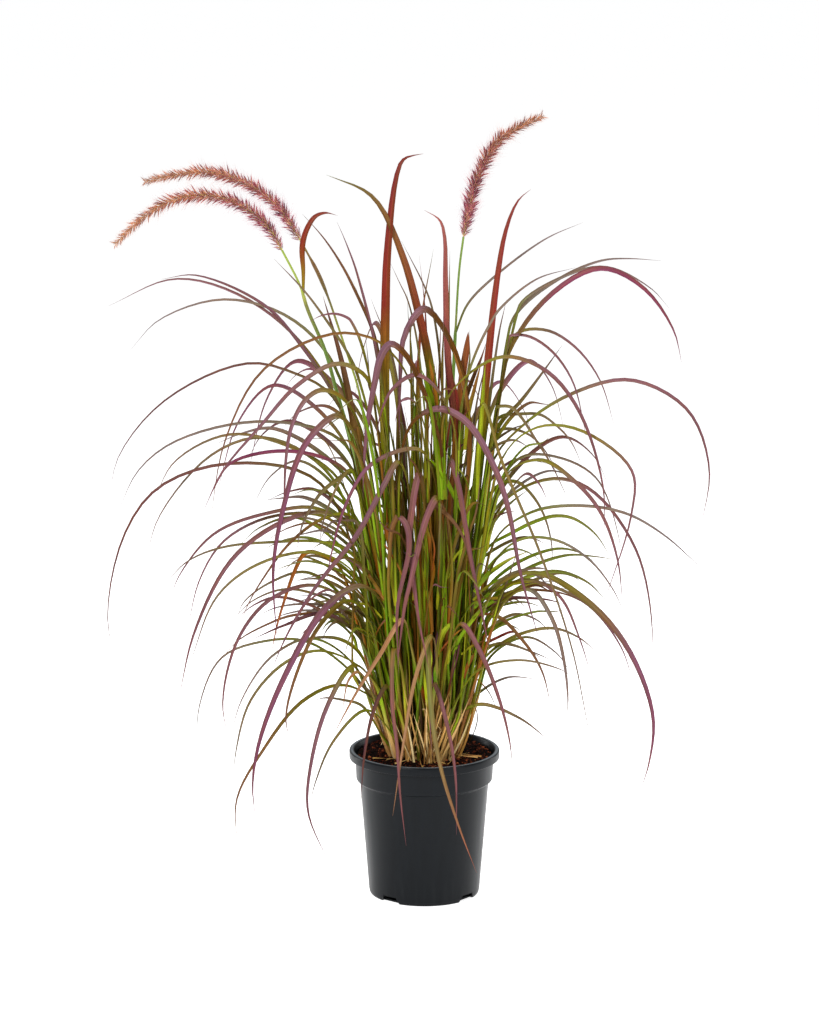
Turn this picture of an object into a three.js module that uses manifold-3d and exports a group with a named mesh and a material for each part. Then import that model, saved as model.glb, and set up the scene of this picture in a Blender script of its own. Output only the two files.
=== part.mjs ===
// Red fountain grass in a plastic nursery pot, at real size in millimetres.
//
// The pot stands on z = 0 with its axis on the z axis, and its front faces -y.
// All shoots rise from one crown in the soil, like the ribs of a fan that has been spun round:
// run on downwards they would meet at one point below the pot, so no two shoots cross.
// The crown is split into tufts. Each tuft keeps to its own slice of the circle, and the upright
// middle tufts keep inside a funnel, so the tufts never touch one another.

import * as THREE from 'three';
import * as BufferGeometryUtils from 'three/addons/utils/BufferGeometryUtils.js';
import Module from 'manifold-3d';

const wasm = await Module();
wasm.setup();

// Driving dimensions of the pot
const POT_HEIGHT = 219;
const RIM_RADIUS = 111.3;
const RIM_DEPTH = 12.5;
const LIP_WIDTH = 7;
const BAND_RADIUS = 102.5;
const STEP_HEIGHT = 174.5;
const STEP_WIDTH = 5.5;
const FOOT_RADIUS = 82;
const POT_WALL = 1.8;
const POT_FLOOR = 2.5;
const BAND_TAPER = 1.5;
const STEP_RISE = 3.5;
const FOOT_CHAMFER = 4;
const LIP_ROUND = 4;
const ROUND_SEGMENTS = 32;

// Drain notches in the foot edge
const NOTCH_AZIMUTHS = [51, 141, 231, 321];
const NOTCH_HEIGHT = 10;
const NOTCH_WIDTH_BELOW = 34;
const NOTCH_WIDTH_ABOVE = 23;
const NOTCH_DEPTH = 9;

// Soil, and the round hole in it that holds the crown and widens upwards as the shoots lean out
const SOIL_TOP = 211;
const SOIL_EDGE = 209;
const HOLE_RADIUS = 62;
const HOLE_FOOT_RADIUS = 54;
const HOLE_FLOOR = 168;
const CLEARANCE = 0.3;
const SOIL_GAP = 0.4;

// Crown and the fan of shoots, whose foot radii are those at the level of the fan
const FAN_LEVEL = 198;
const CROWN_RADIUS = 52;
const CROWN_TOP = 197;
const CORE_RADIUS = 30;
const CORE_FLARE = 100;
const CORE_FLARE_RISE = 900;
const FUNNEL_GAP = 2.5;
const FAN_CENTRE = -30;
const OUTERMOST_FOOT = 46;
const INNERMOST_FOOT = 35;
const MIDDLE_FEET = [7, 26];
const SHOOT_FOOT = 190;
const SHOOT_HALF_WIDTH = 2.1;
const CROWN_EDGE_ROOM = 3.1;
const CROWN_SLICE_GAP = 0.8;
const CROWN_RING_GAP = 0.8;
const CROWN_EYE_RADIUS = 3;
const CROWN_DEGREES_PER_FACET = 14;
const STEM_FOOT = HOLE_FLOOR + CLEARANCE;

// The point that the front elevation is drawn from
const EYE = new THREE.Vector3(-22, -5000, 1575);

const DEGREE = Math.PI / 180;
const BLADE_SIDES = 3;
const BLADE_STEP = 78;
const FEWEST_BLADE_STEPS = 4;
const MOST_BLADE_STEPS = 8;
const SMALLEST_EDGE = 0.05;
const BLADE_THICKNESS = 0.7;
const BLADE_ROOM = 0.6;
const KEEL_SLOPE = 0.28;
const TIP_HALF_WIDTH = 0.35;

// Seeded numbers from 0 to 1
let seed = 20240611;

function random() {
  seed = (seed * 1664525 + 1013904223) % 4294967296;
  return seed / 4294967296;
}

function between(low, high) {
  return low + (high - low) * random();
}

// Solids from closed geometries
function toSolid(geometry) {
  const bare = geometry.clone();
  bare.deleteAttribute('normal');
  bare.deleteAttribute('uv');
  const merged = BufferGeometryUtils.mergeVertices(bare, 1e-4);
  return new wasm.Manifold(new wasm.Mesh({
    numProp: 3,
    vertProperties: new Float32Array(merged.attributes.position.array),
    triVerts: new Uint32Array(merged.index.array),
  }));
}

function toGeometry(solid) {
  const { numProp, vertProperties, triVerts } = solid.getMesh();
  const positions = new Float32Array(triVerts.length * 3);
  triVerts.forEach((vertex, corner) => {
    for (let axis = 0; axis < 3; axis += 1) {
      positions[corner * 3 + axis] = vertProperties[vertex * numProp + axis];
    }
  });
  const geometry = new THREE.BufferGeometry();
  geometry.setAttribute('position', new THREE.BufferAttribute(positions, 3));
  geometry.computeVertexNormals();
  return geometry;
}

function fused(solids) {
  return toGeometry(wasm.Manifold.union(solids).simplify(SMALLEST_EDGE));
}

// Places in the plant
function polar(radius, azimuth, z) {
  const angle = azimuth * DEGREE;
  return new THREE.Vector3(radius * Math.cos(angle), radius * Math.sin(angle), z);
}

// A point drawn at (across, height) on the front elevation, moved along the line of sight to a depth
function seenAt(across, height, depth) {
  const drawn = new THREE.Vector3(across, 0, height);
  return drawn.sub(EYE).multiplyScalar((depth - EYE.y) / -EYE.y).add(EYE);
}

// The funnel that the middle tufts keep inside
function coreRadius(z) {
  const rise = z - FAN_LEVEL;
  const flare = CORE_FLARE * (Math.max(rise, 0) / CORE_FLARE_RISE) ** 8;
  return CORE_RADIUS * (1 + rise / (FAN_LEVEL - FAN_CENTRE)) + flare;
}

// Moves a point into its tuft's slice, leaving room for the blade's own width
function keepInSlice(point, room, tuft) {
  const middle = (tuft.from + tuft.to) / 2 * DEGREE;
  const halfSpan = (tuft.to - tuft.from) / 2 * DEGREE;
  const funnel = coreRadius(point.z);
  const nearest = tuft.core ? room / Math.sin(Math.min(halfSpan, Math.PI / 2)) : funnel + room + FUNNEL_GAP;
  const furthest = tuft.core ? Math.max(tuft.core * funnel - room, nearest) : Infinity;
  const radius = Math.min(Math.max(Math.hypot(point.x, point.y), nearest), furthest);
  const turn = Math.atan2(point.y, point.x) - middle;
  const away = Math.atan2(Math.sin(turn), Math.cos(turn));
  const limit = Math.max(halfSpan - Math.asin(Math.min(room / radius, 1)), 0);
  const angle = middle + Math.min(Math.max(away, -limit), limit);
  return new THREE.Vector3(radius * Math.cos(angle), radius * Math.sin(angle), point.z);
}

// Where the shoot that passes through a point leaves the crown
function shootFoot(point) {
  const scale = (SHOOT_FOOT - FAN_CENTRE) / (point.z - FAN_CENTRE);
  const foot = new THREE.Vector3(point.x * scale, point.y * scale, SHOOT_FOOT);
  const radius = Math.hypot(foot.x, foot.y);
  const limit = CROWN_RADIUS - CROWN_EDGE_ROOM;
  const shrink = Math.min(1, limit / radius);
  return foot.set(foot.x * shrink, foot.y * shrink, SHOOT_FOOT);
}

// Half width along a blade: a narrow shoot, a broad middle and a long fine tip
function bladeHalfWidth(width, along) {
  const collar = Math.max(SHOOT_HALF_WIDTH, width * 0.25);
  const swell = THREE.MathUtils.smoothstep(along, 0, 0.35);
  const taper = 1 - along ** 2.4;
  const full = (collar + (width / 2 - collar) * swell) * taper;
  return Math.max(full, TIP_HALF_WIDTH);
}

// Bends a closed rod with many steps so that ring i gets the corners that shape(i) returns
function bentRod(sides, steps, shape) {
  const rod = new THREE.CylinderGeometry(1, 1, 1, sides, steps);
  const position = rod.attributes.position;
  const rings = Array.from({ length: steps + 1 }, (_, step) => shape(step));
  for (let i = 0; i < position.count; i += 1) {
    const step = Math.round((position.getY(i) + 0.5) * steps);
    const { centre, u, v } = rings[step];
    const place = centre.clone().addScaledVector(u, position.getX(i)).addScaledVector(v, position.getZ(i));
    position.setXYZ(i, place.x, place.y, place.z);
  }
  return rod;
}

// Section directions of a curve: its tangent, the way across it and the way out of its upper face
function sectionFrame(curve, t, across) {
  const tangent = curve.getTangent(t);
  const side = across.clone().addScaledVector(tangent, -across.dot(tangent)).normalize();
  const face = new THREE.Vector3().crossVectors(tangent, side);
  return { tangent, side, face };
}

function levelAcross(start, end) {
  const across = new THREE.Vector3(start.y - end.y, end.x - start.x, 0);
  return across.normalize();
}

// The section of a blade at one ring: a corner under the midrib and a corner at each edge
function keeledSection(centre, { side, face }, half, turn) {
  const angle = turn * DEGREE;
  const keel = BLADE_THICKNESS + KEEL_SLOPE * half;
  const wide = side.clone().multiplyScalar(Math.cos(angle)).addScaledVector(face, Math.sin(angle));
  const up = face.clone().multiplyScalar(Math.cos(angle)).addScaledVector(side, -Math.sin(angle));
  return {
    centre: centre.clone().addScaledVector(up, -keel / 3),
    u: wide.multiplyScalar(half / Math.sin(120 * DEGREE)),
    v: up.multiplyScalar(-keel / 1.5),
  };
}

// A grass blade with its shoot: ring 0 is in the crown, ring 1 is the collar where the leaf begins
function bladeSolid(blade, tuft) {
  const collar = keepInSlice(blade.points[0], SHOOT_HALF_WIDTH + BLADE_ROOM, tuft);
  const foot = keepInSlice(shootFoot(collar), SHOOT_HALF_WIDTH + BLADE_ROOM, tuft);
  const curve = new THREE.CatmullRomCurve3([foot, collar, ...blade.points.slice(1)], false, 'centripetal');
  const across = levelAcross(foot, blade.points.at(-1));
  const facing = across.y > 0 ? 1 : -1;
  const collarAt = 1 / blade.points.length;
  const steps = 1 + leafSteps(blade.points);
  const rod = bentRod(BLADE_SIDES, steps, (step) => {
    const along = Math.max(step - 1, 0) / (steps - 1);
    const t = step === 0 ? 0 : THREE.MathUtils.lerp(collarAt, 1, along);
    const half = step === 0 ? SHOOT_HALF_WIDTH : bladeHalfWidth(blade.width, along);
    const turn = facing * THREE.MathUtils.lerp(blade.turn[0], blade.turn[1], along);
    const centre = keepInSlice(curve.getPoint(t), half + BLADE_ROOM, tuft);
    return keeledSection(centre, sectionFrame(curve, t, across), half, turn);
  });
  return toSolid(rod);
}

// Long leaves are bent in more steps than short ones
function leafSteps(points) {
  let length = 0;
  for (let i = 1; i < points.length; i += 1) {
    length += points[i].distanceTo(points[i - 1]);
  }
  return THREE.MathUtils.clamp(Math.round(length / BLADE_STEP), FEWEST_BLADE_STEPS, MOST_BLADE_STEPS);
}

// One slice of the crown, which the shoots of a tuft grow from
function crownBlock(tuft) {
  const boundary = CORE_RADIUS - 1;
  const inner = tuft.core ? CROWN_EYE_RADIUS : boundary + CROWN_RING_GAP / 2;
  const outer = tuft.core ? boundary - CROWN_RING_GAP / 2 : CROWN_RADIUS;
  const trim = (radius) => Math.asin(CROWN_SLICE_GAP / 2 / radius);
  const from = tuft.from * DEGREE;
  const to = tuft.to * DEGREE;
  const shape = new THREE.Shape();
  shape.absarc(0, 0, outer, from + trim(outer), to - trim(outer), false);
  shape.absarc(0, 0, inner, to - trim(inner), from + trim(inner), true);
  shape.closePath();
  const depth = CROWN_TOP - STEM_FOOT;
  const curveSegments = Math.ceil((tuft.to - tuft.from) / CROWN_DEGREES_PER_FACET);
  const block = new THREE.ExtrudeGeometry(shape, { depth, bevelEnabled: false, curveSegments });
  block.translate(0, 0, STEM_FOOT);
  return toSolid(block);
}

// A blade drawn on the front elevation. depth gives y where it leaves the bundle, half way and at the tip
function drawn(width, turn, depth, ...seen) {
  const points = [];
  for (let i = 0; i < seen.length; i += 2) {
    const along = i / (seen.length - 2);
    const near = Math.min(along * 2, 1);
    const far = Math.max(along * 2 - 1, 0);
    const y = depth[0] + (depth[1] - depth[0]) * near + (depth[2] - depth[1]) * far;
    points.push(seenAt(seen[i], seen[i + 1], y));
  }
  return { width, turn, points };
}

// Seeded blades stand at even steps round their tuft. Storeys go from short low leaves to long ones
// that arch out of the top
const GOLDEN_PART = 0.618034;
const STOREYS = [
  { collar: [320, 400], out: [70, 120], rise: [50, 95], droop: [40, 90], fall: [5, 60], width: [5, 8] },
  { collar: [380, 460], out: [75, 135], rise: [60, 110], droop: [45, 100], fall: [0, 60], width: [5, 8] },
  { collar: [440, 530], out: [80, 140], rise: [70, 130], droop: [50, 120], fall: [0, 80], width: [5, 9] },
  { collar: [510, 610], out: [85, 150], rise: [90, 160], droop: [60, 130], fall: [10, 120], width: [6, 9] },
  { collar: [590, 690], out: [90, 170], rise: [110, 200], droop: [70, 150],
    fall: [30, 200], width: [6, 10] },
];

function archingBlade(tuft, index) {
  const level = index % STOREYS.length;
  const storey = STOREYS[level];
  const span = tuft.to - tuft.from;
  const azimuth = tuft.from + span * ((index * GOLDEN_PART + 0.5) % 1);
  const sway = Math.min(span, 40) * between(-0.4, 0.4);
  const footRadius = THREE.MathUtils.lerp(OUTERMOST_FOOT, INNERMOST_FOOT, level / (STOREYS.length - 1));
  const collarZ = between(...storey.collar);
  const collarRadius = footRadius * (collarZ - FAN_CENTRE) / (FAN_LEVEL - FAN_CENTRE);
  const apexRadius = collarRadius + between(...storey.out);
  const apexZ = collarZ + between(...storey.rise);
  const tipRadius = apexRadius + between(...storey.droop);
  const tipZ = apexZ - between(...storey.fall);
  const width = between(...storey.width);
  const turn = [between(35, 70), between(40, 80)];
  const mix = (a, b, part) => a + (b - a) * part;
  const points = [
    polar(collarRadius, azimuth, collarZ),
    polar(mix(collarRadius, apexRadius, 0.4), azimuth + sway * 0.2, mix(collarZ, apexZ, 0.68)),
    polar(apexRadius, azimuth + sway * 0.45, apexZ),
    polar(mix(apexRadius, tipRadius, 0.6), azimuth + sway * 0.75, mix(apexZ, tipZ, 0.34)),
    polar(tipRadius, azimuth + sway, tipZ),
  ];
  return { width, turn, points };
}

function uprightBlade(tuft, index) {
  const azimuth = tuft.from + (tuft.to - tuft.from) * ((index * GOLDEN_PART + 0.5) % 1);
  const footRadius = THREE.MathUtils.lerp(...MIDDLE_FEET, (index + 0.5) / tuft.seeded);
  const tipZ = between(560, 960);
  const collarZ = tipZ * between(0.5, 0.62);
  const spread = (z) => footRadius * (z - FAN_CENTRE) / (FAN_LEVEL - FAN_CENTRE);
  const bendZ = collarZ + (tipZ - collarZ) * 0.75;
  const sway = between(-25, 25);
  const width = between(5, 11);
  const turn = [between(-80, 80), between(-80, 80)];
  const points = [
    polar(spread(collarZ), azimuth, collarZ),
    polar(spread(bendZ), azimuth + sway * 0.4, bendZ),
    polar(spread(tipZ) * between(1.15, 1.5), azimuth + sway, tipZ),
  ];
  return { width, turn, points };
}

// Blades drawn by hand: width, turn at collar and tip, three depths, then (across, height) pairs
const MIDDLE_BLADES = [
  drawn(18, [85, 85], [-12, -14, -12], -50, 500, -60, 690, -59, 888, -56, 960, -43, 1068, -32, 1092,
    -2, 1099),
  drawn(18, [75, 70], [-22, -22, -12], 10, 500, 17, 683, 8, 780, -11, 873, -36, 960, -80, 1040, -147, 1072),
  drawn(12, [85, 85], [-28, -30, -20], 33, 500, 44, 683, 33, 790, 29, 917, 28, 980, 21, 1004, -1, 1018),
  drawn(13, [85, 85], [-22, -24, -38], 76, 500, 82, 683, 94, 815, 105, 917, 117, 990, 134, 1032, 152, 1048),
  drawn(15, [65, 55], [-45, -62, -75], 54, 500, 61, 718, 37, 824, -2, 875, -30, 836, -36, 760, -37, 683),
  drawn(14, [85, 85], [-35, -40, -44], 40, 594, 47, 683, 53, 749, 57, 786, 62, 821, 63, 842),
  drawn(5, [70, 75], [-32, -30, -25], -56, 683, -65, 793, -76, 844, -95, 889, -118, 934, -148, 979,
    -180, 1015),
  drawn(6, [70, 70], [-40, -35, -28], -59, 720, -72, 820, -82, 866, -92, 905, -102, 940, -115, 974,
    -128, 1002),
  drawn(4, [70, 70], [-55, -50, -48], 1, 698, -4, 759, -12, 830, -25, 888, -37, 914, -50, 943),
  drawn(5, [70, 70], [-45, -44, -42], 28, 698, 22, 786, 17, 837, 8, 884, -5, 917, -18, 943, -34, 974),
  drawn(9, [80, 80], [-30, -34, -34], 55, 534, 50, 627, 50, 683, 47, 734, 40, 783, 33, 815),
  drawn(6, [75, 75], [-44, -46, -42], -23, 504, -20, 609, -17, 698, -18, 742, -21, 777),
  drawn(10, [80, 75], [-14, -16, -16], -30, 482, -30, 564, -29, 653, -31, 712, -40, 764),
  drawn(8, [80, 80], [-30, -34, -36], -49, 459, -52, 564, -53, 653, -57, 727, -65, 793),
  drawn(7, [70, 70], [-30, -34, -40], 55, 504, 63, 609, 71, 698, 78, 749, 92, 809),
  drawn(9, [75, 80], [-36, -40, -38], 8, 444, 5, 534, -1, 624, -8, 698, -10, 749),
  drawn(8, [80, 75], [-20, -26, -30], -10, 308, -7, 368, -5, 429, 1, 504, 11, 564),
  drawn(8, [60, 80], [-26, -30, -30], 29, 308, 32, 384, 36, 459, 37, 534, 49, 609),
  drawn(4, [70, 75], [-44, -44, -42], -18, 683, -17, 771, -20, 822, -24, 862, -25, 902),
  drawn(6, [70, 75], [-24, -26, -30], 87, 668, 95, 742, 102, 800, 109, 847, 118, 888),
  drawn(9, [75, 80], [-20, -22, -26], 49, 683, 60, 742, 72, 778, 82, 803, 89, 826),
];

const FRONT_BLADES = [
  drawn(15, [65, 50], [-88, -104, -95], 24, 640, 14, 700, -4, 762, -24, 813, -42, 826, -62, 800, -80, 727,
    -88, 653, -90, 594),
  drawn(9, [45, 55], [-105, -120, -105], 47, 668, 24, 747, -12, 779, -45, 760, -62, 728, -72, 680),
  drawn(9, [45, 55], [-98, -108, -125], -38, 640, -12, 714, 18, 730, 60, 711, 97, 653, 121, 587, 141, 482,
    170, 381),
  drawn(9, [50, 70], [-80, -92, -120], -50, 600, -76, 764, -124, 795, -184, 764, -237, 705, -296, 635,
    -321, 582),
  drawn(11, [50, 70], [-88, -115, -135], -83, 624, -111, 705, -130, 718, -175, 675, -207, 579, -222, 490,
    -217, 384),
  drawn(8, [45, 60], [-100, -110, -120], 25, 560, -2, 664, -26, 669, -81, 644, -115, 587, -135, 520,
    -146, 459),
  drawn(10, [45, 60], [-95, -115, -150], -15, 560, -38, 650, -59, 616, -99, 541, -161, 462, -206, 384,
    -228, 330),
  drawn(14, [70, 75], [-98, -118, -140], 5, 540, -7, 634, -14, 609, -17, 586, -21, 558, -23, 527, -18, 489,
    -13, 447, -7, 405, 1, 368),
  drawn(15, [70, 75], [-95, -124, -152], 40, 470, 31, 572, 17, 596, 6, 578, -5, 543, -14, 503, -21, 471,
    -29, 438, -36, 381),
  drawn(15, [70, 75], [-92, -122, -150], -54, 444, -52, 504, -49, 549, -40, 568, -30, 562, -23, 543,
    -23, 516, -30, 483, -38, 448, -41, 411, -39, 368),
  drawn(13, [70, 70], [-90, -110, -135], 30, 550, 38, 652, 48, 624, 60, 556, 72, 486, 89, 402, 97, 358),
  drawn(6, [40, 55], [-92, -105, -115], -12, 490, 5, 585, 30, 575, 56, 540, 70, 482),
  drawn(16, [80, 80], [-34, -38, -45], -68, 504, -80, 579, -101, 694, -121, 800, -147, 894),
  drawn(4, [60, 65], [-70, -60, -50], -77, 698, -91, 764, -113, 812, -145, 862, -177, 905, -219, 949),
  drawn(5, [40, 50], [-80, -82, -85], -71, 734, -85, 828, -98, 850, -114, 863, -131, 868, -150, 865,
    -167, 856),
  drawn(5, [35, 55], [-40, -75, -115], -95, 640, -129, 742, -180, 822, -231, 880, -329, 924, -380, 918),
  drawn(4, [35, 55], [-38, -75, -125], -95, 540, -130, 630, -219, 681, -290, 690, -365, 650, -395, 594),
  drawn(8, [40, 70], [-42, -80, -125], -87, 560, -116, 638, -197, 666, -282, 649, -305, 616, -322, 579),
  drawn(6, [40, 60], [-95, -120, -135], 5, 620, -36, 803, -118, 840, -231, 789, -290, 683, -314, 558),
  drawn(4, [35, 55], [-92, -92, -95], 50, 720, 66, 807, 95, 859, 159, 917, 217, 935),
  drawn(6, [40, 60], [-65, -105, -150], 103, 640, 161, 700, 226, 697, 302, 638, 302, 571, 261, 432),
  drawn(8, [40, 60], [-100, -102, -125], 22, 730, 73, 786, 119, 805, 178, 783, 225, 724, 260, 616,
    263, 541),
  drawn(8, [40, 60], [-62, -95, -140], 110, 621, 168, 653, 219, 621, 258, 574, 283, 504, 291, 437),
  drawn(11, [45, 65], [-60, -118, -165], 89, 446, 159, 485, 238, 443, 299, 372, 338, 269, 333, 196,
    320, 152),
  drawn(8, [45, 55], [-75, -120, -150], 111, 434, 155, 459, 187, 417, 204, 361, 212, 293, 210, 262),
  drawn(5, [40, 55], [-75, -125, -165], 60, 560, 84, 738, 110, 656, 169, 515, 218, 368, 237, 277, 251, 206),
  drawn(4, [35, 55], [-55, -85, -110], 111, 457, 155, 474, 199, 449, 229, 384, 246, 329),
  drawn(6, [40, 60], [-45, -75, -135], -80, 479, -130, 526, -232, 530, -300, 522, -349, 501, -384, 464),
  drawn(9, [40, 70], [-50, -95, -150], -80, 517, -145, 574, -211, 559, -283, 504, -339, 394, -363, 293),
  drawn(6, [40, 60], [-60, -110, -160], -88, 464, -154, 514, -241, 499, -305, 449, -348, 341),
  drawn(5, [40, 60], [-55, -105, -150], -95, 419, -160, 466, -228, 444, -275, 384, -298, 290, -290, 232),
  drawn(8, [45, 70], [-65, -115, -170], -88, 374, -147, 423, -206, 406, -255, 384),
  drawn(3, [35, 55], [-50, -105, -160], -96, 336, -165, 386, -225, 359, -270, 293, -287, 235),
  drawn(6, [40, 60], [-55, -120, -185], -73, 321, -150, 367, -206, 349, -258, 290, -280, 209, -282, 178),
  drawn(12, [45, 70], [-70, -140, -200], -48, 411, -92, 465, -143, 435, -202, 338, -243, 235, -255, 165,
    -251, 109),
  drawn(8, [45, 60], [-75, -130, -175], -73, 396, -112, 443, -154, 406, -188, 335, -205, 265, -198, 229),
  drawn(7, [40, 60], [-45, -120, -200], -48, 265, -118, 315, -180, 291, -241, 213, -279, 140, -278, 65),
  drawn(9, [45, 65], [-65, -150, -215], -69, 310, -105, 345, -144, 284, -169, 193, -173, 120, -141, 40),
  drawn(6, [40, 60], [-50, -125, -180], -44, 232, -87, 277, -136, 228, -162, 166, -170, 131),
  drawn(8, [35, 70], [-90, -125, -150], -20, 370, -33, 414, -66, 361, -100, 305, -137, 235),
  drawn(8, [40, 60], [-65, -118, -150], -42, 285, -56, 314, -76, 275, -90, 201, -94, 137),
  drawn(8, [35, 55], [-80, -150, -175], -30, 320, -45, 372, -48, 290, -41, 225, -36, 148, -27, 69),
  drawn(6, [35, 60], [-85, -140, -165], 18, 340, 10, 390, -14, 325, -29, 240, -47, 115),
  drawn(8, [35, 55], [-82, -148, -200], -2, 330, 4, 390, 9, 293, 22, 200, 48, 109, 78, 27),
  drawn(8, [35, 60], [-70, -132, -155], 5, 262, 14, 318, 33, 258, 46, 180, 48, 86),
  drawn(6, [40, 55], [-60, -100, -130], 45, 283, 82, 339, 141, 353, 196, 341, 219, 329),
  drawn(5, [35, 55], [-35, -60, -85], 45, 262, 82, 286, 141, 265, 187, 229),
  drawn(11, [50, 65], [-85, -110, -140], 37, 374, 55, 408, 83, 365, 111, 293, 126, 232, 131, 188),
  drawn(5, [40, 55], [-40, -65, -85], 82, 390, 104, 420, 148, 379, 174, 335, 187, 282),
  drawn(8, [70, 75], [-62, -74, -70], 63, 594, 49, 631, 34, 650, 22, 671, 8, 698),
  drawn(9, [70, 70], [-36, -45, -60], -54, 270, -69, 335, -93, 384, -118, 423, -151, 462),
  drawn(12, [75, 75], [-44, -48, -55], -57, 293, -70, 346, -87, 392, -99, 441, -111, 489),
  drawn(6, [70, 70], [-50, -58, -60], -42, 308, -50, 384, -60, 459, -73, 534, -94, 594),
  drawn(7, [75, 70], [-58, -66, -70], -30, 293, -29, 368, -33, 444, -45, 527, -61, 586),
  drawn(7, [75, 80], [-52, -62, -66], 51, 262, 57, 323, 63, 384, 67, 459, 65, 527),
  drawn(8, [70, 60], [-50, -58, -62], 40, 293, 35, 338, 24, 376, 23, 411, 33, 435),
  drawn(9, [60, 60], [-52, -60, -66], 67, 368, 55, 390, 46, 384, 39, 365, 35, 350),
  drawn(5, [60, 70], [-48, -52, -62], 73, 285, 91, 365, 109, 434, 127, 489, 137, 522),
  drawn(8, [60, 75], [-40, -62, -90], -117, 482, -146, 510, -174, 515, -189, 491, -205, 446, -217, 405,
    -226, 359),
  drawn(9, [75, 80], [-60, -66, -68], -5, 293, -2, 346, -5, 399, -11, 444, -20, 482),
  drawn(7, [70, 60], [-56, -80, -96], 28, 429, 23, 420, 17, 384, 11, 323, 8, 262, 12, 201),
  drawn(5, [50, 60], [-62, -76, -88], 33, 335, 40, 365, 51, 376, 40, 323, 30, 293),
  drawn(9, [55, 65], [-58, -92, -118], -83, 653, -100, 715, -118, 742, -137, 754, -155, 755, -175, 740,
    -193, 705, -202, 656, -205, 594, -208, 549),
  drawn(5, [55, 60], [-86, -95, -100], 5, 660, -2, 712, -11, 739, -20, 746, -30, 743, -37, 730, -44, 705),
  drawn(8, [70, 70], [-44, -72, -98], -91, 594, -106, 636, -126, 625, -150, 606, -164, 586, -176, 564,
    -183, 542, -187, 516),
  drawn(6, [70, 70], [-50, -76, -92], -94, 594, -109, 638, -122, 625, -135, 598, -145, 572, -151, 549,
    -154, 522),
  drawn(6, [60, 60], [-42, -84, -130], -92, 534, -109, 570, -126, 573, -153, 564, -177, 548, -205, 521,
    -233, 482, -256, 444, -274, 402),
  drawn(4, [50, 60], [-60, -84, -96], -72, 285, -87, 323, -100, 335, -112, 323, -118, 298, -121, 268),
  drawn(10, [80, 80], [-52, -58, -62], -51, 259, -67, 287, -85, 308, -97, 320, -107, 329),
  drawn(4, [60, 60], [-44, -60, -80], -63, 236, -93, 284, -122, 293, -147, 296, -166, 291),
];

const LEFT_BLADES = [
  drawn(7, [35, 55], [4, 8, 16], -95, 600, -131, 749, -202, 849, -290, 905, -366, 918, -457, 879),
  drawn(4, [35, 55], [3, 6, 10], -90, 600, -130, 790, -195, 862, -289, 889, -384, 859, -426, 815),
  drawn(6, [35, 55], [3, 12, 22], -90, 560, -130, 742, -195, 783, -260, 795, -376, 742, -445, 660,
    -461, 594),
  drawn(4, [35, 55], [8, 18, 35], -85, 540, -117, 678, -229, 710, -358, 683, -417, 638, -450, 571),
  drawn(4, [35, 55], [4, 15, 26], -90, 490, -138, 631, -229, 686, -307, 663, -387, 571, -409, 501),
  drawn(7, [40, 60], [3, 8, 14], -85, 440, -153, 620, -280, 648, -387, 613, -440, 540, -466, 414,
    -451, 343),
  drawn(5, [35, 55], [4, 6, 14], -87, 520, -153, 580, -229, 574, -307, 544, -359, 482, -374, 444),
  drawn(4, [35, 55], [6, 15, 25], -85, 480, -138, 565, -219, 570, -292, 534, -330, 474, -350, 391),
  drawn(4, [35, 55], [5, 8, 12], -85, 400, -169, 485, -225, 471, -266, 440, -275, 418),
  drawn(3, [35, 55], [5, 8, 12], -80, 300, -169, 380, -240, 381, -300, 356, -333, 281, -336, 206),
  drawn(6, [70, 60], [3, 6, 10], -83, 444, -107, 482, -136, 504, -168, 510, -195, 501),
  drawn(6, [70, 60], [2, 5, 8], -86, 534, -109, 579, -138, 603, -170, 609, -197, 600),
  drawn(4, [60, 60], [3, 6, 10], -87, 368, -107, 424, -139, 435, -183, 438, -220, 432, -249, 418),
  drawn(4, [60, 60], [3, 8, 14], -84, 346, -110, 416, -154, 424, -198, 420, -234, 406, -273, 384,
    -299, 356),
  drawn(5, [60, 60], [2, 5, 8], -78, 323, -98, 367, -122, 384, -147, 388, -172, 384, -196, 365),
];

const RIGHT_FRONT_BLADES = [
  drawn(14, [40, 80], [-22, -52, -80], 88, 700, 119, 803, 178, 891, 253, 934, 315, 906, 360, 844, 372, 797),
  drawn(6, [40, 60], [-22, -42, -55], 88, 740, 114, 830, 145, 836, 182, 815, 215, 768, 236, 683),
  drawn(8, [40, 60], [-18, -50, -72], 88, 640, 139, 700, 211, 749, 298, 771, 382, 727, 415, 640, 404, 552),
  drawn(7, [40, 55], [-28, -60, -112], 96, 524, 154, 574, 220, 585, 293, 574, 351, 541, 410, 488),
  drawn(6, [40, 55], [-26, -45, -72], 96, 490, 140, 534, 191, 534, 242, 504, 279, 456, 294, 421),
  drawn(4, [40, 55], [-24, -48, -80], 96, 427, 162, 467, 236, 440, 288, 376, 309, 317),
  drawn(4, [35, 55], [-20, -32, -45], 65, 330, 107, 378, 163, 364, 193, 350),
  drawn(7, [70, 60], [-22, -40, -64], 84, 512, 131, 546, 168, 564, 193, 570, 218, 566, 250, 543, 274, 506),
  drawn(4, [50, 60], [-24, -44, -66], 78, 683, 96, 726, 123, 732, 139, 718, 161, 684, 185, 646, 211, 591),
  drawn(5, [70, 60], [-24, -40, -60], 70, 435, 95, 458, 127, 483, 169, 492, 187, 486),
  drawn(7, [70, 70], [-20, -30, -40], 67, 444, 90, 479, 117, 501, 156, 519),
  drawn(6, [65, 65], [-22, -34, -48], 78, 624, 95, 664, 116, 680, 133, 682, 157, 668),
  drawn(6, [70, 65], [-22, -32, -42], 75, 522, 95, 562, 116, 574, 136, 578),
  drawn(8, [75, 75], [-18, -34, -50], 61, 368, 87, 429, 118, 446, 155, 447, 184, 444, 209, 436),
  drawn(4, [60, 60], [-18, -28, -36], 64, 335, 83, 372, 107, 387, 131, 396, 140, 388),
];

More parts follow.
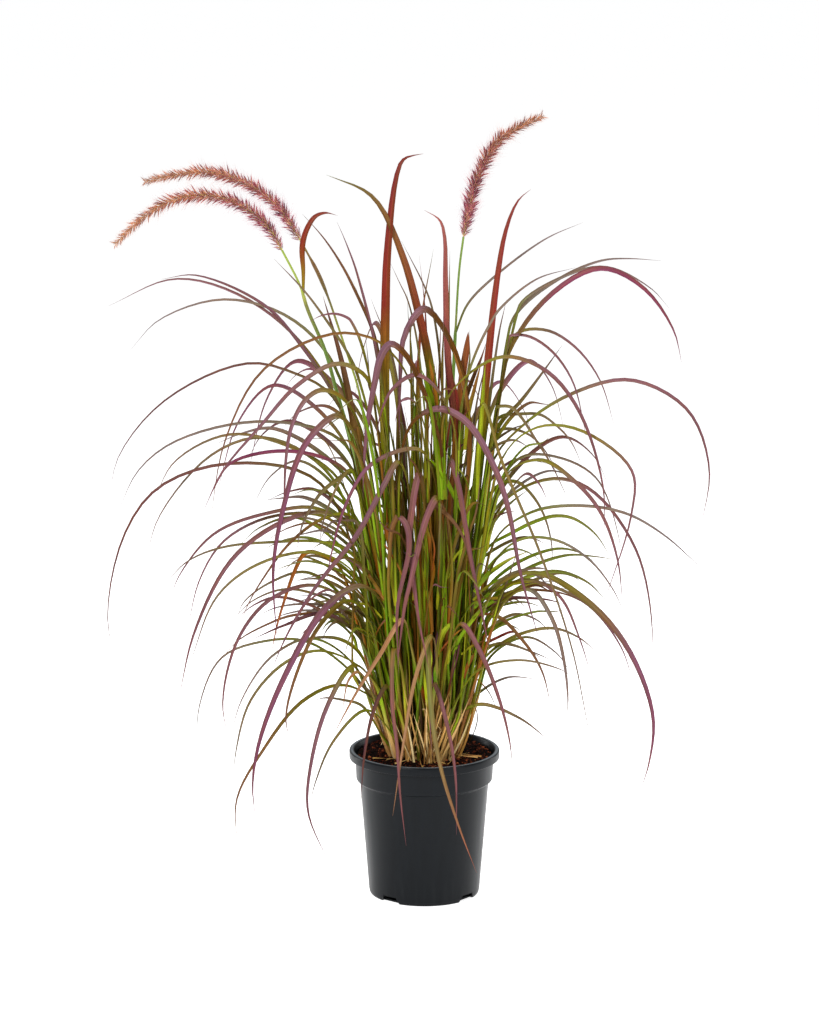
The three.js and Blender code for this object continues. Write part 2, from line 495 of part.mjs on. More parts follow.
const RIGHT_BLADES = [
  drawn(4, [35, 55], [2, 4, 8], 100, 760, 131, 873, 196, 920, 261, 936, 326, 905, 353, 876),
  drawn(4, [35, 55], [2, 4, 5], 95, 730, 131, 837, 175, 844, 218, 819, 254, 771, 276, 703),
  drawn(8, [40, 55], [-2, 0, 4], 96, 560, 139, 609, 197, 625, 248, 604, 311, 516, 335, 400, 332, 346),
  drawn(3, [35, 55], [2, 3, 5], 65, 285, 119, 326, 166, 325),
  drawn(4, [60, 60], [2, 4, 6], 84, 683, 109, 716, 141, 721, 168, 720, 189, 706, 212, 682, 230, 644),
  drawn(6, [70, 60], [-2, 0, 2], 67, 399, 95, 429, 121, 438, 146, 441, 177, 432),
  drawn(5, [60, 50], [4, 6, 8], 66, 594, 90, 666, 126, 698, 153, 708),
  drawn(6, [60, 60], [0, 4, 8], 81, 638, 94, 686, 112, 698, 132, 698, 157, 687, 180, 660, 192, 636),
  drawn(5, [60, 60], [0, 2, 4], 61, 376, 89, 448, 118, 465, 155, 471, 191, 465, 228, 446),
  drawn(4, [60, 60], [0, 2, 4], 61, 308, 79, 361, 97, 375, 114, 378, 141, 372, 182, 352),
];

const RIGHT_BACK_BLADES = [
  drawn(4, [35, 55], [25, 50, 72], 105, 800, 131, 866, 196, 920, 254, 945, 294, 948, 340, 945),
  drawn(6, [40, 55], [24, 42, 70], 100, 590, 139, 656, 197, 656, 252, 624, 285, 534, 288, 504),
  drawn(8, [60, 60], [20, 30, 45], 88, 640, 109, 705, 139, 739, 168, 778, 199, 822),
  drawn(3, [35, 55], [28, 42, 60], 90, 350, 148, 388, 193, 365, 218, 331),
  drawn(5, [60, 65], [22, 34, 48], 72, 564, 107, 615, 133, 621, 154, 604, 173, 574, 186, 527, 186, 482),
  drawn(7, [70, 70], [22, 28, 34], 73, 504, 95, 552, 122, 586, 151, 609),
  drawn(5, [60, 60], [20, 30, 40], 64, 368, 93, 436, 133, 458, 169, 459, 206, 453, 243, 435),
];

// The tufts: their slices of the circle in degrees, their drawn blades and how many seeded ones follow
const TUFTS = [
  { name: 'middle_front_tuft', from: 194, to: 350, core: 1, blades: MIDDLE_BLADES, seeded: 3 },
  { name: 'middle_left_tuft', from: 105, to: 182, core: 0.88, blades: [], seeded: 7 },
  { name: 'middle_right_tuft', from: 20, to: 105, core: 1, blades: [], seeded: 7 },
  { name: 'front_tuft', from: 194, to: 340, core: 0, blades: FRONT_BLADES, seeded: 2 },
  { name: 'left_tuft', from: 172, to: 182, core: 0, blades: LEFT_BLADES, seeded: 2 },
  { name: 'right_front_tuft', from: 340, to: 354, core: 0, blades: RIGHT_FRONT_BLADES, seeded: 1 },
  { name: 'right_tuft', from: -6, to: 8, core: 0, blades: RIGHT_BLADES, seeded: 2 },
  { name: 'right_back_tuft', from: 8, to: 22, core: 0, blades: RIGHT_BACK_BLADES, seeded: 2 },
];

const BACK_EDGES = [22, 40, 58, 76, 94, 112, 130, 146, 160];
for (let i = 1; i < BACK_EDGES.length; i += 1) {
  const from = BACK_EDGES[i - 1];
  TUFTS.push({ name: `back_tuft_${i}`, from, to: BACK_EDGES[i], core: 0, blades: [], seeded: 5 });
}

const TUFT_COLOURS = ['#7a4a3c', '#6b5a26', '#5f7a22', '#854a52', '#6a6420'];

function tuftMesh(tuft, index) {
  const solids = [crownBlock(tuft)];
  for (const blade of tuft.blades) {
    solids.push(bladeSolid(blade, tuft));
  }
  for (let i = 0; i < tuft.seeded; i += 1) {
    const blade = tuft.core ? uprightBlade(tuft, i) : archingBlade(tuft, i);
    solids.push(bladeSolid(blade, tuft));
  }
  const colour = TUFT_COLOURS[index % TUFT_COLOURS.length];
  return namedMesh(tuft.name, fused(solids), colour, 0.62);
}

function namedMesh(name, geometry, color, roughness) {
  const material = new THREE.MeshStandardMaterial({ color, roughness, metalness: 0 });
  const mesh = new THREE.Mesh(geometry, material);
  mesh.name = name;
  return mesh;
}

// Flowering stems: a round culm that thickens where a leaf sheath wraps it, with a flag leaf on two of
// them. Paths are (radius, height) pairs in the upright plane at the stem's azimuth
const CULM_RADIUS = 2.1;
const CULM_TOP_RADIUS = 1.5;
const CULM_SIDES = 6;
const CULM_STEPS = 16;
const FLAG_STEPS = 8;
const CULMS = [
  {
    azimuth: 187,
    path: [[36, STEM_FOOT], [37, 210], [70, 420], [94, 630], [128, 755], [145, 818], [170, 877], [180, 911],
      [206, 963]],
    sheath: { from: 560, to: 900, radius: 3.2 },
    flag: [[176, 900], [175.5, 934], [177, 960], [175, 978], [169, 995], [158, 1011], [143, 1016],
      [126, 1012]],
    flagWidth: 10,
    flagTurn: [80, 60],
    plume: [[206.1, 963.3], [225, 996], [272, 1033], [330, 1044], [388, 1025], [444, 976]],
  },
  {
    azimuth: 166,
    path: [[34, STEM_FOOT], [35, 210], [62, 430], [78, 600], [97, 745], [113, 796], [128, 840], [143, 883],
      [160, 923], [186, 969]],
    sheath: { from: 885, to: 945, radius: 3.4 },
    plume: [[186.1, 969.3], [216, 1014], [260, 1046.5], [305, 1062.5], [345, 1064.5], [384, 1057.5],
      [422, 1048.5]],
  },
  {
    azimuth: 5,
    path: [[14.5, STEM_FOOT], [14.5, 210], [28, 500], [40, 742], [45, 848], [50, 932], [56, 979]],
    sheath: { from: 560, to: 840, radius: 3.1 },
    flag: [[45, 838], [62, 880], [95, 915], [174, 974], [229, 998]],
    flagWidth: 5,
    flagTurn: [50, 50],
    plume: [[56.1, 979.3], [62, 1011], [79.5, 1075], [107.5, 1118], [136.5, 1137], [168.5, 1151]],
  },
];

function radialCurve(azimuth, path) {
  const points = path.map(([radius, z]) => polar(radius, azimuth, z));
  return new THREE.CatmullRomCurve3(points, false, 'centripetal');
}

// A round rod along a curve, with a radius for each part of its length
function roundRod(curve, across, sides, steps, radiusAt) {
  return toSolid(bentRod(sides, steps, (step) => {
    const t = step / steps;
    const { side, face } = sectionFrame(curve, t, across);
    const radius = radiusAt(t);
    return {
      centre: curve.getPoint(t),
      u: side.multiplyScalar(radius),
      v: face.multiplyScalar(-radius),
    };
  }));
}

function culmSolid(culm, across) {
  const curve = radialCurve(culm.azimuth, culm.path);
  const { from, to, radius: sheathRadius } = culm.sheath;
  return roundRod(curve, across, CULM_SIDES, CULM_STEPS, (t) => {
    const { z } = curve.getPoint(t);
    const inSheath = z >= from && z <= to;
    return inSheath ? sheathRadius : THREE.MathUtils.lerp(CULM_RADIUS, CULM_TOP_RADIUS, t);
  });
}

function flagSolid(culm, across) {
  const curve = radialCurve(culm.azimuth, culm.flag);
  return toSolid(bentRod(BLADE_SIDES, FLAG_STEPS, (step) => {
    const t = step / FLAG_STEPS;
    const turn = THREE.MathUtils.lerp(culm.flagTurn[0], culm.flagTurn[1], t);
    const half = bladeHalfWidth(culm.flagWidth, t);
    return keeledSection(curve.getPoint(t), sectionFrame(curve, t, across), half, turn);
  }));
}

function culmMesh(culm, index) {
  const across = polar(1, culm.azimuth + 90, 0);
  const solids = [culmSolid(culm, across)];
  if (culm.flag) {
    solids.push(flagSolid(culm, across));
  }
  return namedMesh(`flower_stem_${index + 1}`, fused(solids), '#86a02e', 0.55);
}

// Plumes: a slim curved spike whose surface is drawn out into spikelets. Every second ring has them, at
// every second corner. Each leans forward along the spike, some further than others
const PLUME_SIDES = 8;
const PLUME_STEPS = 42;
const PLUME_CORE_RADIUS = 4.2;
const PLUME_TIP_NARROWING = 0.6;
const SPIKELET_HEIGHT = 6.2;
const SPIKELET_REACH = 5;

function plumeMesh(culm, index) {
  const curve = radialCurve(culm.azimuth, culm.plume);
  const across = polar(1, culm.azimuth + 90, 0);
  const spike = new THREE.CylinderGeometry(1, 1, 1, PLUME_SIDES, PLUME_STEPS);
  const position = spike.attributes.position;
  for (let i = 0; i < position.count; i += 1) {
    const x = position.getX(i);
    const z = position.getZ(i);
    const step = Math.round((position.getY(i) + 0.5) * PLUME_STEPS);
    const corner = Math.round(Math.atan2(z, x) / (2 * Math.PI) * PLUME_SIDES) + PLUME_SIDES;
    const t = step / PLUME_STEPS;
    const row = step / 2;
    const onSurface = Math.hypot(x, z) > 0.5;
    const inside = step > 0 && step < PLUME_STEPS;
    const drawnOut = onSurface && inside && step % 2 === 0 && (corner + row) % 2 === 0;
    const unevenness = ((corner % PLUME_SIDES) * 5 + row * 3) % PLUME_SIDES / PLUME_SIDES;
    const size = (1 - 0.35 * t ** 2) * THREE.MathUtils.smoothstep(t, -0.15, 0.12);
    const height = drawnOut ? SPIKELET_HEIGHT * (0.85 + 0.4 * unevenness) : 0;
    const ahead = drawnOut ? SPIKELET_REACH * (0.4 + 1.2 * unevenness) : 0;
    const out = PLUME_CORE_RADIUS * (1 - PLUME_TIP_NARROWING * t ** 2) + height * size;
    const { tangent, side, face } = sectionFrame(curve, t, across);
    const place = curve.getPoint(t);
    place.addScaledVector(side, x * out);
    place.addScaledVector(face, -z * out);
    place.addScaledVector(tangent, ahead * size);
    position.setXYZ(i, place.x, place.y, place.z);
  }
  return namedMesh(`flower_plume_${index + 1}`, toGeometry(toSolid(spike)), '#a8655a', 0.8);
}

// The pot: one turned shell with a rolled rim, a band, a step and a tapering wall
function latheOf(profile) {
  const points = profile.map(([radius, z]) => new THREE.Vector2(radius, z));
  const lathe = new THREE.LatheGeometry(points, ROUND_SEGMENTS);
  lathe.rotateX(Math.PI / 2);
  return lathe;
}

const BAND_FOOT_RADIUS = BAND_RADIUS - BAND_TAPER;
const BODY_TOP_RADIUS = BAND_FOOT_RADIUS - STEP_WIDTH;
const STEP_FOOT = STEP_HEIGHT - STEP_RISE;
const LIP_FOOT = POT_HEIGHT - RIM_DEPTH;
const MOUTH_RADIUS = RIM_RADIUS - LIP_WIDTH;

const POT_PROFILE = [
  [0, 0],
  [FOOT_RADIUS - FOOT_CHAMFER, 0],
  [FOOT_RADIUS, FOOT_CHAMFER],
  [BODY_TOP_RADIUS, STEP_FOOT],
  [BAND_FOOT_RADIUS, STEP_HEIGHT],
  [BAND_RADIUS, LIP_FOOT],
  [RIM_RADIUS, LIP_FOOT],
  [RIM_RADIUS, POT_HEIGHT - LIP_ROUND],
  [RIM_RADIUS - LIP_ROUND / 2, POT_HEIGHT - 0.6],
  [MOUTH_RADIUS + LIP_ROUND / 2, POT_HEIGHT],
  [MOUTH_RADIUS, POT_HEIGHT - LIP_ROUND],
  [BAND_RADIUS - POT_WALL, LIP_FOOT - 2],
  [BAND_FOOT_RADIUS - POT_WALL, STEP_HEIGHT],
  [BODY_TOP_RADIUS - POT_WALL, STEP_FOOT],
  [FOOT_RADIUS - POT_WALL, POT_FLOOR],
  [0, POT_FLOOR],
];

function notchCutter(azimuth) {
  const outline = new THREE.Shape();
  outline.moveTo(-NOTCH_WIDTH_BELOW / 2, -5);
  outline.lineTo(NOTCH_WIDTH_BELOW / 2, -5);
  outline.lineTo(NOTCH_WIDTH_BELOW / 2, 0);
  outline.lineTo(NOTCH_WIDTH_ABOVE / 2, NOTCH_HEIGHT);
  outline.lineTo(-NOTCH_WIDTH_ABOVE / 2, NOTCH_HEIGHT);
  outline.lineTo(-NOTCH_WIDTH_BELOW / 2, 0);
  outline.closePath();
  const cutter = new THREE.ExtrudeGeometry(outline, { depth: 30, bevelEnabled: false });
  cutter.rotateX(Math.PI / 2);
  cutter.translate(0, -(FOOT_RADIUS - NOTCH_DEPTH), 0);
  cutter.rotateZ((azimuth + 90) * DEGREE);
  return toSolid(cutter);
}

function potMesh() {
  const shell = toSolid(latheOf(POT_PROFILE));
  const cutters = NOTCH_AZIMUTHS.map(notchCutter);
  const pot = toGeometry(shell.subtract(wasm.Manifold.union(cutters)));
  return namedMesh('nursery_pot', pot, '#2b2e30', 0.5);
}

function soilMesh() {
  const inset = POT_WALL + SOIL_GAP;
  const bottom = POT_FLOOR + CLEARANCE;
  const profile = [
    [0, bottom],
    [FOOT_RADIUS - inset - 0.5, bottom],
    [BODY_TOP_RADIUS - inset, STEP_FOOT + 0.5],
    [BAND_FOOT_RADIUS - inset, STEP_HEIGHT + 0.5],
    [BAND_RADIUS - inset - 0.3, SOIL_EDGE],
    [HOLE_RADIUS, SOIL_TOP],
    [HOLE_FOOT_RADIUS, HOLE_FLOOR],
    [0, HOLE_FLOOR],
  ];
  return namedMesh('potting_soil', latheOf(profile), '#4a2c1c', 0.95);
}

const group = new THREE.Group();
group.add(potMesh(), soilMesh());
TUFTS.forEach((tuft, index) => group.add(tuftMesh(tuft, index)));
CULMS.forEach((culm, index) => group.add(culmMesh(culm, index), plumeMesh(culm, index)));

export default group;
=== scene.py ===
# %% [markdown]
# # Red fountain grass in a nursery pot
#
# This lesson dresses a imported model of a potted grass. The model gives the size and the place of
# every part: the pot, the soil, sixteen tufts of leaves and three flowering stems. Here each of them
# gets the fine surface that the real one shows: leaves with a channel and a midrib, plumes of
# bristly spikelets, crumbly compost and a moulded plastic pot.

# %% Load the frame
import math
import random

import bmesh
import bpy
import numpy as np
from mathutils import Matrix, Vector, noise


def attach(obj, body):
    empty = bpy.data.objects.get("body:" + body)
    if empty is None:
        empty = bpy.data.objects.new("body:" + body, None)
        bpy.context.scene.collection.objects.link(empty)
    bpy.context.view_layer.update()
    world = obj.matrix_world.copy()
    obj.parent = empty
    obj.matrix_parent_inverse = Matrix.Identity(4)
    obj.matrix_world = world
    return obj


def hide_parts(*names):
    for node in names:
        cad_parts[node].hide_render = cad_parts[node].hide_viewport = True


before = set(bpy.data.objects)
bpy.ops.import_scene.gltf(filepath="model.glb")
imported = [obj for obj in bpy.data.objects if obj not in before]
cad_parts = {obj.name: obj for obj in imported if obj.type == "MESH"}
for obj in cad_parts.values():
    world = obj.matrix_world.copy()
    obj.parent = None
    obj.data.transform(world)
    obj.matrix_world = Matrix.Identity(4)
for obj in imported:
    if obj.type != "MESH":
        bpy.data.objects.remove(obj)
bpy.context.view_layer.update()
MM = 0.001
scene = bpy.context.scene
print("nodes in the frame:", len(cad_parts))


# %% [markdown]
# ## Small helpers
#
# Colours are easy to read as sRGB hex values, but shaders work in linear light, so one function
# turns the one into the other. A node tree is a list of nodes with settings and links, so one small
# function adds a node with both. Of the settings of a colour mix, MIX lays the second colour over the
# first and TIMES multiplies the two.

# %% Colours and nodes
MIX = {"data_type": "RGBA"}
TIMES = {"data_type": "RGBA", "blend_type": "MULTIPLY"}


def linear(hex_colour):
    """An sRGB hex colour as linear red, green, blue and alpha."""
    parts = [int(hex_colour[i:i + 2], 16) / 255 for i in (1, 3, 5)]
    return [c / 12.92 if c <= 0.04045 else ((c + 0.055) / 1.055) ** 2.4 for c in parts] + [1.0]


def fill(tree, node, inputs):
    """Gives inputs a plain value or another node's output. A list fills the first inputs."""
    for key, value in inputs.items() if isinstance(inputs, dict) else enumerate(inputs):
        if isinstance(value, bpy.types.NodeSocket):
            tree.links.new(value, node.inputs[key])
        else:
            node.inputs[key].default_value = value


def add(tree, kind, inputs=(), output=0, stops=(), **settings):
    """Adds a node with its settings and links, and returns one of its outputs.

    A colour ramp has stops: pairs of a place and a grey value or a hex colour, the two end ones first.
    """
    node = tree.nodes.new(kind)
    for name, value in settings.items():
        setattr(node, name, value)
    fill(tree, node, inputs)
    for i, (place, value) in enumerate(stops):
        elements = node.color_ramp.elements
        element = elements[i] if i < 2 else elements.new(place)
        element.position = place
        element.color = linear(value) if isinstance(value, str) else (value, value, value, 1)
    return node.outputs[output]


def new_material(name):
    """A material with only its shader and output. Returns it, its tree and the shader."""
    material = bpy.data.materials.new(name)
    material.use_nodes = True
    tree = material.node_tree
    return material, tree, tree.nodes["Principled BSDF"]


# %% Objects
def placed(name, data):
    """An object in the scene that holds a mesh, a light or a camera."""
    piece = bpy.data.objects.new(name, data)
    scene.collection.objects.link(piece)
    return piece


def new_mesh(name, vertices, edges, faces):
    mesh = bpy.data.meshes.new(name)
    mesh.from_pydata(vertices, edges, faces)
    return mesh


# %% [markdown]
# A Geometry Nodes tree gets a mesh and a few named inputs. Instances are lost in the export, so each
# tree ends by making them real and giving them their material. Its result is then kept as a plain mesh.

# %% Geometry Nodes trees
def new_geometry_tree(name, sockets):
    """A tree with named inputs besides its geometry and material. Returns it and its inputs."""
    tree = bpy.data.node_groups.new(name, "GeometryNodeTree")
    for title, kind in {"Geometry": "Geometry", **sockets, "Material": "Material"}.items():
        tree.interface.new_socket(title, in_out="INPUT", socket_type="NodeSocket" + kind)
    tree.interface.new_socket("Geometry", in_out="OUTPUT", socket_type="NodeSocketGeometry")
    return tree, tree.nodes.new("NodeGroupInput").outputs


def close_tree(tree, inputs, geometry):
    """Ends a tree in Realize Instances and Set Material."""
    real = add(tree, "GeometryNodeRealizeInstances", [geometry])
    dressed = add(tree, "GeometryNodeSetMaterial", {"Geometry": real, "Material": inputs["Material"]})
    tree.links.new(dressed, tree.nodes.new("NodeGroupOutput").inputs[0])


def grown(name, mesh, tree, values):
    """Runs a Geometry Nodes tree on a mesh and returns the result as a plain object."""
    guide = placed(name + "_guide", mesh)
    modifier = guide.modifiers.new("grow", "NODES")
    modifier.node_group = tree
    identifiers = {item.name: item.identifier for item in tree.interface.items_tree
                   if item.item_type == "SOCKET" and item.in_out == "INPUT"}
    for title, value in values.items():
        modifier[identifiers[title]] = value
    evaluated = guide.evaluated_get(bpy.context.evaluated_depsgraph_get())
    result = bpy.data.meshes.new_from_object(evaluated)
    bpy.data.objects.remove(guide)
    result.name = name
    return placed(name, result)


# %% [markdown]
# ## Camera, light and floor
#
# The plant stands on a pale floor in an even white studio. The camera is far away and looks a
# little down on it, so that the rim of the pot shows as a flat ellipse. Two tall soft boxes at the
# sides draw the long soft highlights down the pot.

# %% Camera
EYE = Vector((-22, -5000, 1575))
CAMERA_PITCH = 11.3
FRAME_HEIGHT_PX = 1024
FOCAL_LENGTH_PX = 3490
SENSOR_MM = 36
VIEW_DISTANCE = 200

camera_data = bpy.data.cameras.new("camera")
camera_data.sensor_width = SENSOR_MM
camera_data.lens = FOCAL_LENGTH_PX * SENSOR_MM / FRAME_HEIGHT_PX
camera_data.clip_end = VIEW_DISTANCE
camera = placed("camera", camera_data)
camera.location = EYE * MM
camera.rotation_euler = (math.radians(90 - CAMERA_PITCH), 0, 0)
scene.camera = camera
print("camera lens:", round(camera_data.lens, 1), "mm")


# %% Light
WORLD_LIGHT = 0.32
PLANT_MIDDLE = (0, 0, 0.55)


def soft_box(name, place, size, power):
    """A rectangular area light that faces the plant."""
    data = bpy.data.lights.new(name, "AREA")
    data.shape = "RECTANGLE"
    data.size, data.size_y = size
    data.energy = power
    light = placed(name, data)
    light.location = place
    light.rotation_euler = (Vector(PLANT_MIDDLE) - Vector(place)).to_track_quat("-Z", "Y").to_euler()


soft_box("key_light", (-2.0, -3.2, 3.0), (1.0, 1.4), 165)
soft_box("fill_light", (2.6, -2.6, 2.0), (1.4, 2.0), 52)
soft_box("top_light", (0.3, 0.8, 3.4), (2.0, 2.0), 110)
soft_box("left_edge_light", (-2.9, 1.7, 1.0), (0.5, 2.0), 26)
soft_box("right_edge_light", (2.9, 1.7, 1.0), (0.5, 2.0), 26)

world = bpy.data.worlds.new("studio")
world.use_nodes = True
background = world.node_tree.nodes["Background"]
fill(world.node_tree, background, {"Color": linear("#ffffff"), "Strength": WORLD_LIGHT})
scene.world = world
scene.view_settings.view_transform = "Standard"
print("soft boxes:", len(bpy.data.lights))


# %% Floor
FLOOR_GLOW = 0.78
FLOOR_HALF = 70
corners = [(x * FLOOR_HALF, y * FLOOR_HALF, 0) for x, y in ((-1, -1), (1, -1), (1, 1), (-1, 1))]
floor = placed("floor", new_mesh("floor", corners, [], [(0, 1, 2, 3)]))
floor_paint, shade, shader = new_material("lit_white_studio_floor")
fill(shade, shader, {"Base Color": linear("#d2d3d4"), "Roughness": 0.8,
                     "Emission Color": linear("#ffffff"), "Emission Strength": FLOOR_GLOW})
floor.data.materials.append(floor_paint)
print("floor width in m:", round(floor.dimensions.x))


# %% [markdown]
# ## How the shoots stand
#
# Every leaf grows on a shoot, and the shoots stand like the ribs of a fan spun round: run on
# downwards they meet at one point below the pot. A tuft is a slice of that fan. The upright middle
# tufts stay inside a funnel and the arching ones outside it, so no tuft runs through another. The
# same few sizes and the same seeded numbers as in the model give the same leaves here, drawn finer.

# %% Sizes of the clump, in millimetres
SOIL_TOP = 198
CROWN_RADIUS = 52
CROWN_EDGE_ROOM = 3.1
CORE_RADIUS = 30
CORE_FLARE = 100
CORE_FLARE_RISE = 900
FUNNEL_GAP = 2.5
FAN_CENTRE = -30
OUTERMOST_FOOT = 46
INNERMOST_FOOT = 35
MIDDLE_FEET = (7, 26)
SHOOT_FOOT = 190
SHOOT_HALF_WIDTH = 2.1
BLADE_ROOM = 0.6
print("crown width in mm:", 2 * CROWN_RADIUS)


# %% Seeded numbers and places
class SeededNumbers:
    """The same run of numbers from 0 to 1 that places the model's leaves."""

    def __init__(self, seed):
        self.seed = seed

    def between(self, low, high):
        self.seed = (self.seed * 1664525 + 1013904223) % 4294967296
        return low + (high - low) * self.seed / 4294967296


CLUMP_SEED = 20240611
numbers = SeededNumbers(CLUMP_SEED)


def mix(a, b, part):
    return a + (b - a) * part


def smoothstep(value, low, high):
    part = min(max((value - low) / (high - low), 0), 1)
    return part * part * (3 - 2 * part)


def polar(radius, azimuth, z):
    angle = math.radians(azimuth)
    return Vector((radius * math.cos(angle), radius * math.sin(angle), z))


def seen_at(across, height, depth):
    """A point drawn on the front elevation, moved along the line of sight to a depth."""
    return (Vector((across, 0, height)) - EYE) * ((depth - EYE.y) / -EYE.y) + EYE


# %% The slice of a tuft
def core_radius(z):
    rise = z - SOIL_TOP
    flare = CORE_FLARE * (max(rise, 0) / CORE_FLARE_RISE) ** 8
    return CORE_RADIUS * (1 + rise / (SOIL_TOP - FAN_CENTRE)) + flare


def keep_in_slice(point, room, tuft):
    """Moves a point into its tuft's slice, leaving room for the blade's own width."""
    middle = math.radians((tuft["from"] + tuft["to"]) / 2)
    half_span = math.radians((tuft["to"] - tuft["from"]) / 2)
    funnel = core_radius(point.z)
    if tuft["core"]:
        nearest = room / math.sin(min(half_span, math.pi / 2))
        furthest = max(tuft["core"] * funnel - room, nearest)
    else:
        nearest = funnel + room + FUNNEL_GAP
        furthest = math.inf
    radius = min(max(math.hypot(point.x, point.y), nearest), furthest)
    turn = math.atan2(point.y, point.x) - middle
    away = math.atan2(math.sin(turn), math.cos(turn))
    limit = max(half_span - math.asin(min(room / radius, 1)), 0)
    angle = middle + min(max(away, -limit), limit)
    return Vector((radius * math.cos(angle), radius * math.sin(angle), point.z))


def shoot_foot(point):
    """Where the shoot that passes through a point leaves the crown."""
    scale = (SHOOT_FOOT - FAN_CENTRE) / (point.z - FAN_CENTRE)
    foot = Vector((point.x * scale, point.y * scale, 0))
    limit = CROWN_RADIUS - CROWN_EDGE_ROOM
    foot *= min(1, limit / foot.length)
    foot.z = SHOOT_FOOT
    return foot


# %% [markdown]
# ## Curves through a few points
#
# A leaf is drawn with three to twelve points. A centripetal Catmull-Rom curve runs through all of
# them without loops or overshoots, whatever their spacing, so it suits points that are read off. The
# points are a millimetre or two off, which would show as a wobble on a long arch, so the
# curve is then smoothed a little.

# %% Catmull-Rom curve
def curve_point(points, t):
    """The point at t, from 0 to 1, on a centripetal Catmull-Rom curve through the points."""
    last = len(points) - 1
    place = t * last
    index = min(int(place), last - 1)
    weight = place - index
    p1, p2 = points[index], points[index + 1]
    p0 = points[index - 1] if index > 0 else p1 * 2 - p2
    p3 = points[index + 2] if index + 2 <= last else p2 * 2 - p1
    d0, d1, d2 = (max((b - a).length, 1e-6) ** 0.5 for a, b in ((p0, p1), (p1, p2), (p2, p3)))
    start = ((p1 - p0) / d0 - (p2 - p0) / (d0 + d1) + (p2 - p1) / d1) * d1
    end = ((p2 - p1) / d1 - (p3 - p1) / (d1 + d2) + (p3 - p2) / d2) * d1
    bend = (p2 - p1) * 3 - start * 2 - end
    twist = (p1 - p2) * 2 + start + end
    return p1 + start * weight + bend * weight ** 2 + twist * weight ** 3


# %% Smoothing and spacing
BEND_WEIGHT = 50
CURVE_STEPS = 95
SMOOTHING_PASSES = 8


def smoothed(points, passes):
    """Points with each one drawn towards its neighbours, the first and the last left in place."""
    for _ in range(passes):
        inner = [(a + b * 2 + c) / 4 for a, b, c in zip(points, points[1:], points[2:])]
        points = [points[0], *inner, points[-1]]
    return points


def well_spaced(points, count):
    """count points along a line of points, closer together where the line bends."""
    ways = [b - a for a, b in zip(points, points[1:])]
    bends = [0.0, *(a.angle(b, 0.0) for a, b in zip(ways, ways[1:]))]
    reach = [0.0]
    for way, bend in zip(ways, bends):
        reach.append(reach[-1] + way.length + bend * BEND_WEIGHT)
    steps = [reach[-1] * i / (count - 1) for i in range(count)]
    spread = [np.interp(steps, reach, [point[axis] for point in points]) for axis in range(3)]
    return [Vector(place) for place in zip(*spread)]


def even_curve(points, count):
    """count points along the smooth curve through a few points."""
    samples = [curve_point(points, i / CURVE_STEPS) for i in range(CURVE_STEPS + 1)]
    return well_spaced(smoothed(samples, SMOOTHING_PASSES), count)


# %% [markdown]
# ## The drawn leaves
#
# The leaves that give the plant its outline are drawn one by one. Each row of the tables below holds
# the leaf's tone and its full width, its turn in degrees about its own length at the collar and at the
# tip, and its depth where it leaves the bundle, half way and at the tip. Then come its points, as pairs
# of distance across and height. All are in millimetres. A leaf under six millimetres would be thinner
# than a dot of the render, so it is drawn wider and turned to show its face.

# %% Tones of the leaves
# Each tone is the upper face where the leaf begins, in its middle and at its tip, and the underside
TONES = {
    "mauve": ("#6c681c", "#6c4850", "#643c46", "#604c16"),
    "rose": ("#6c5e18", "#70484c", "#683c44", "#604428"),
    "dun": ("#6c6e24", "#666436", "#7c4438", "#625c2c"),
    "arch": ("#482a06", "#704e58", "#643c4a", "#44300a"),
    "brick": ("#70500c", "#8c4440", "#864a4a", "#6a3e1c"),
    "plum": ("#6a6224", "#6a3e50", "#622e46", "#5e4418"),
    "wine": ("#6a5a28", "#70304a", "#662a42", "#5e3a20"),
    "dusky": ("#5a5818", "#583634", "#502a36", "#46360e"),
    "red": ("#7e540c", "#782a1e", "#6c2628", "#6a3e0a"),
    "scarlet": ("#84900e", "#782a1e", "#6c2628", "#6a3e0a"),
    "burgundy": ("#7c6c10", "#702214", "#602426", "#58340a"),
    "orange": ("#886a0c", "#945410", "#84462e", "#784e0c"),
    "rust": ("#6c9410", "#8c3620", "#5a5a2c", "#5e480a"),
    "olive": ("#727a14", "#6c6232", "#5e484a", "#5c5410"),
    "green": ("#6c8e0c", "#6c7e18", "#5c5236", "#567006"),
    "lime": ("#96ac14", "#9ca81c", "#847834", "#7c8e10"),
    "bronze": ("#6c6c10", "#684822", "#603c36", "#564408"),
    "grey": ("#687028", "#6a5e50", "#66565a", "#54502e"),
    "straw": ("#8a7a38", "#98704c", "#886046", "#806440"),
}
print("tones:", len(TONES))


# %% Reading a table of leaves
THIN_LEAF = 6
THIN_LEAF_GAIN = 2
THIN_LEAF_TURN = (58, 68)


def table_row(row):
    """A row of a table as a list: its names as they are and its numbers as whole numbers."""
    return [word if word.isalpha() else int(word) for word in row.split()]


def drawn(*rows):
    """The leaves of a table, each with its points in space."""
    leaves = []
    for tone, width, turn, tip_turn, near, half_way, far, *seen in map(table_row, rows):
        if width < THIN_LEAF:
            width += THIN_LEAF_GAIN
            turn = max(turn, THIN_LEAF_TURN[0])
            tip_turn = max(tip_turn, THIN_LEAF_TURN[1])
        pairs = list(zip(seen[::2], seen[1::2]))
        points = []
        for i, (across, height) in enumerate(pairs):
            along = i / (len(pairs) - 1)
            first_part = min(along * 2, 1)
            last_part = max(along * 2 - 1, 0)
            depth = near + (half_way - near) * first_part + (far - half_way) * last_part
            points.append(seen_at(across, height, depth))
        leaves.append({"tone": tone, "width": width, "turn": (turn, tip_turn), "points": points})
    return leaves


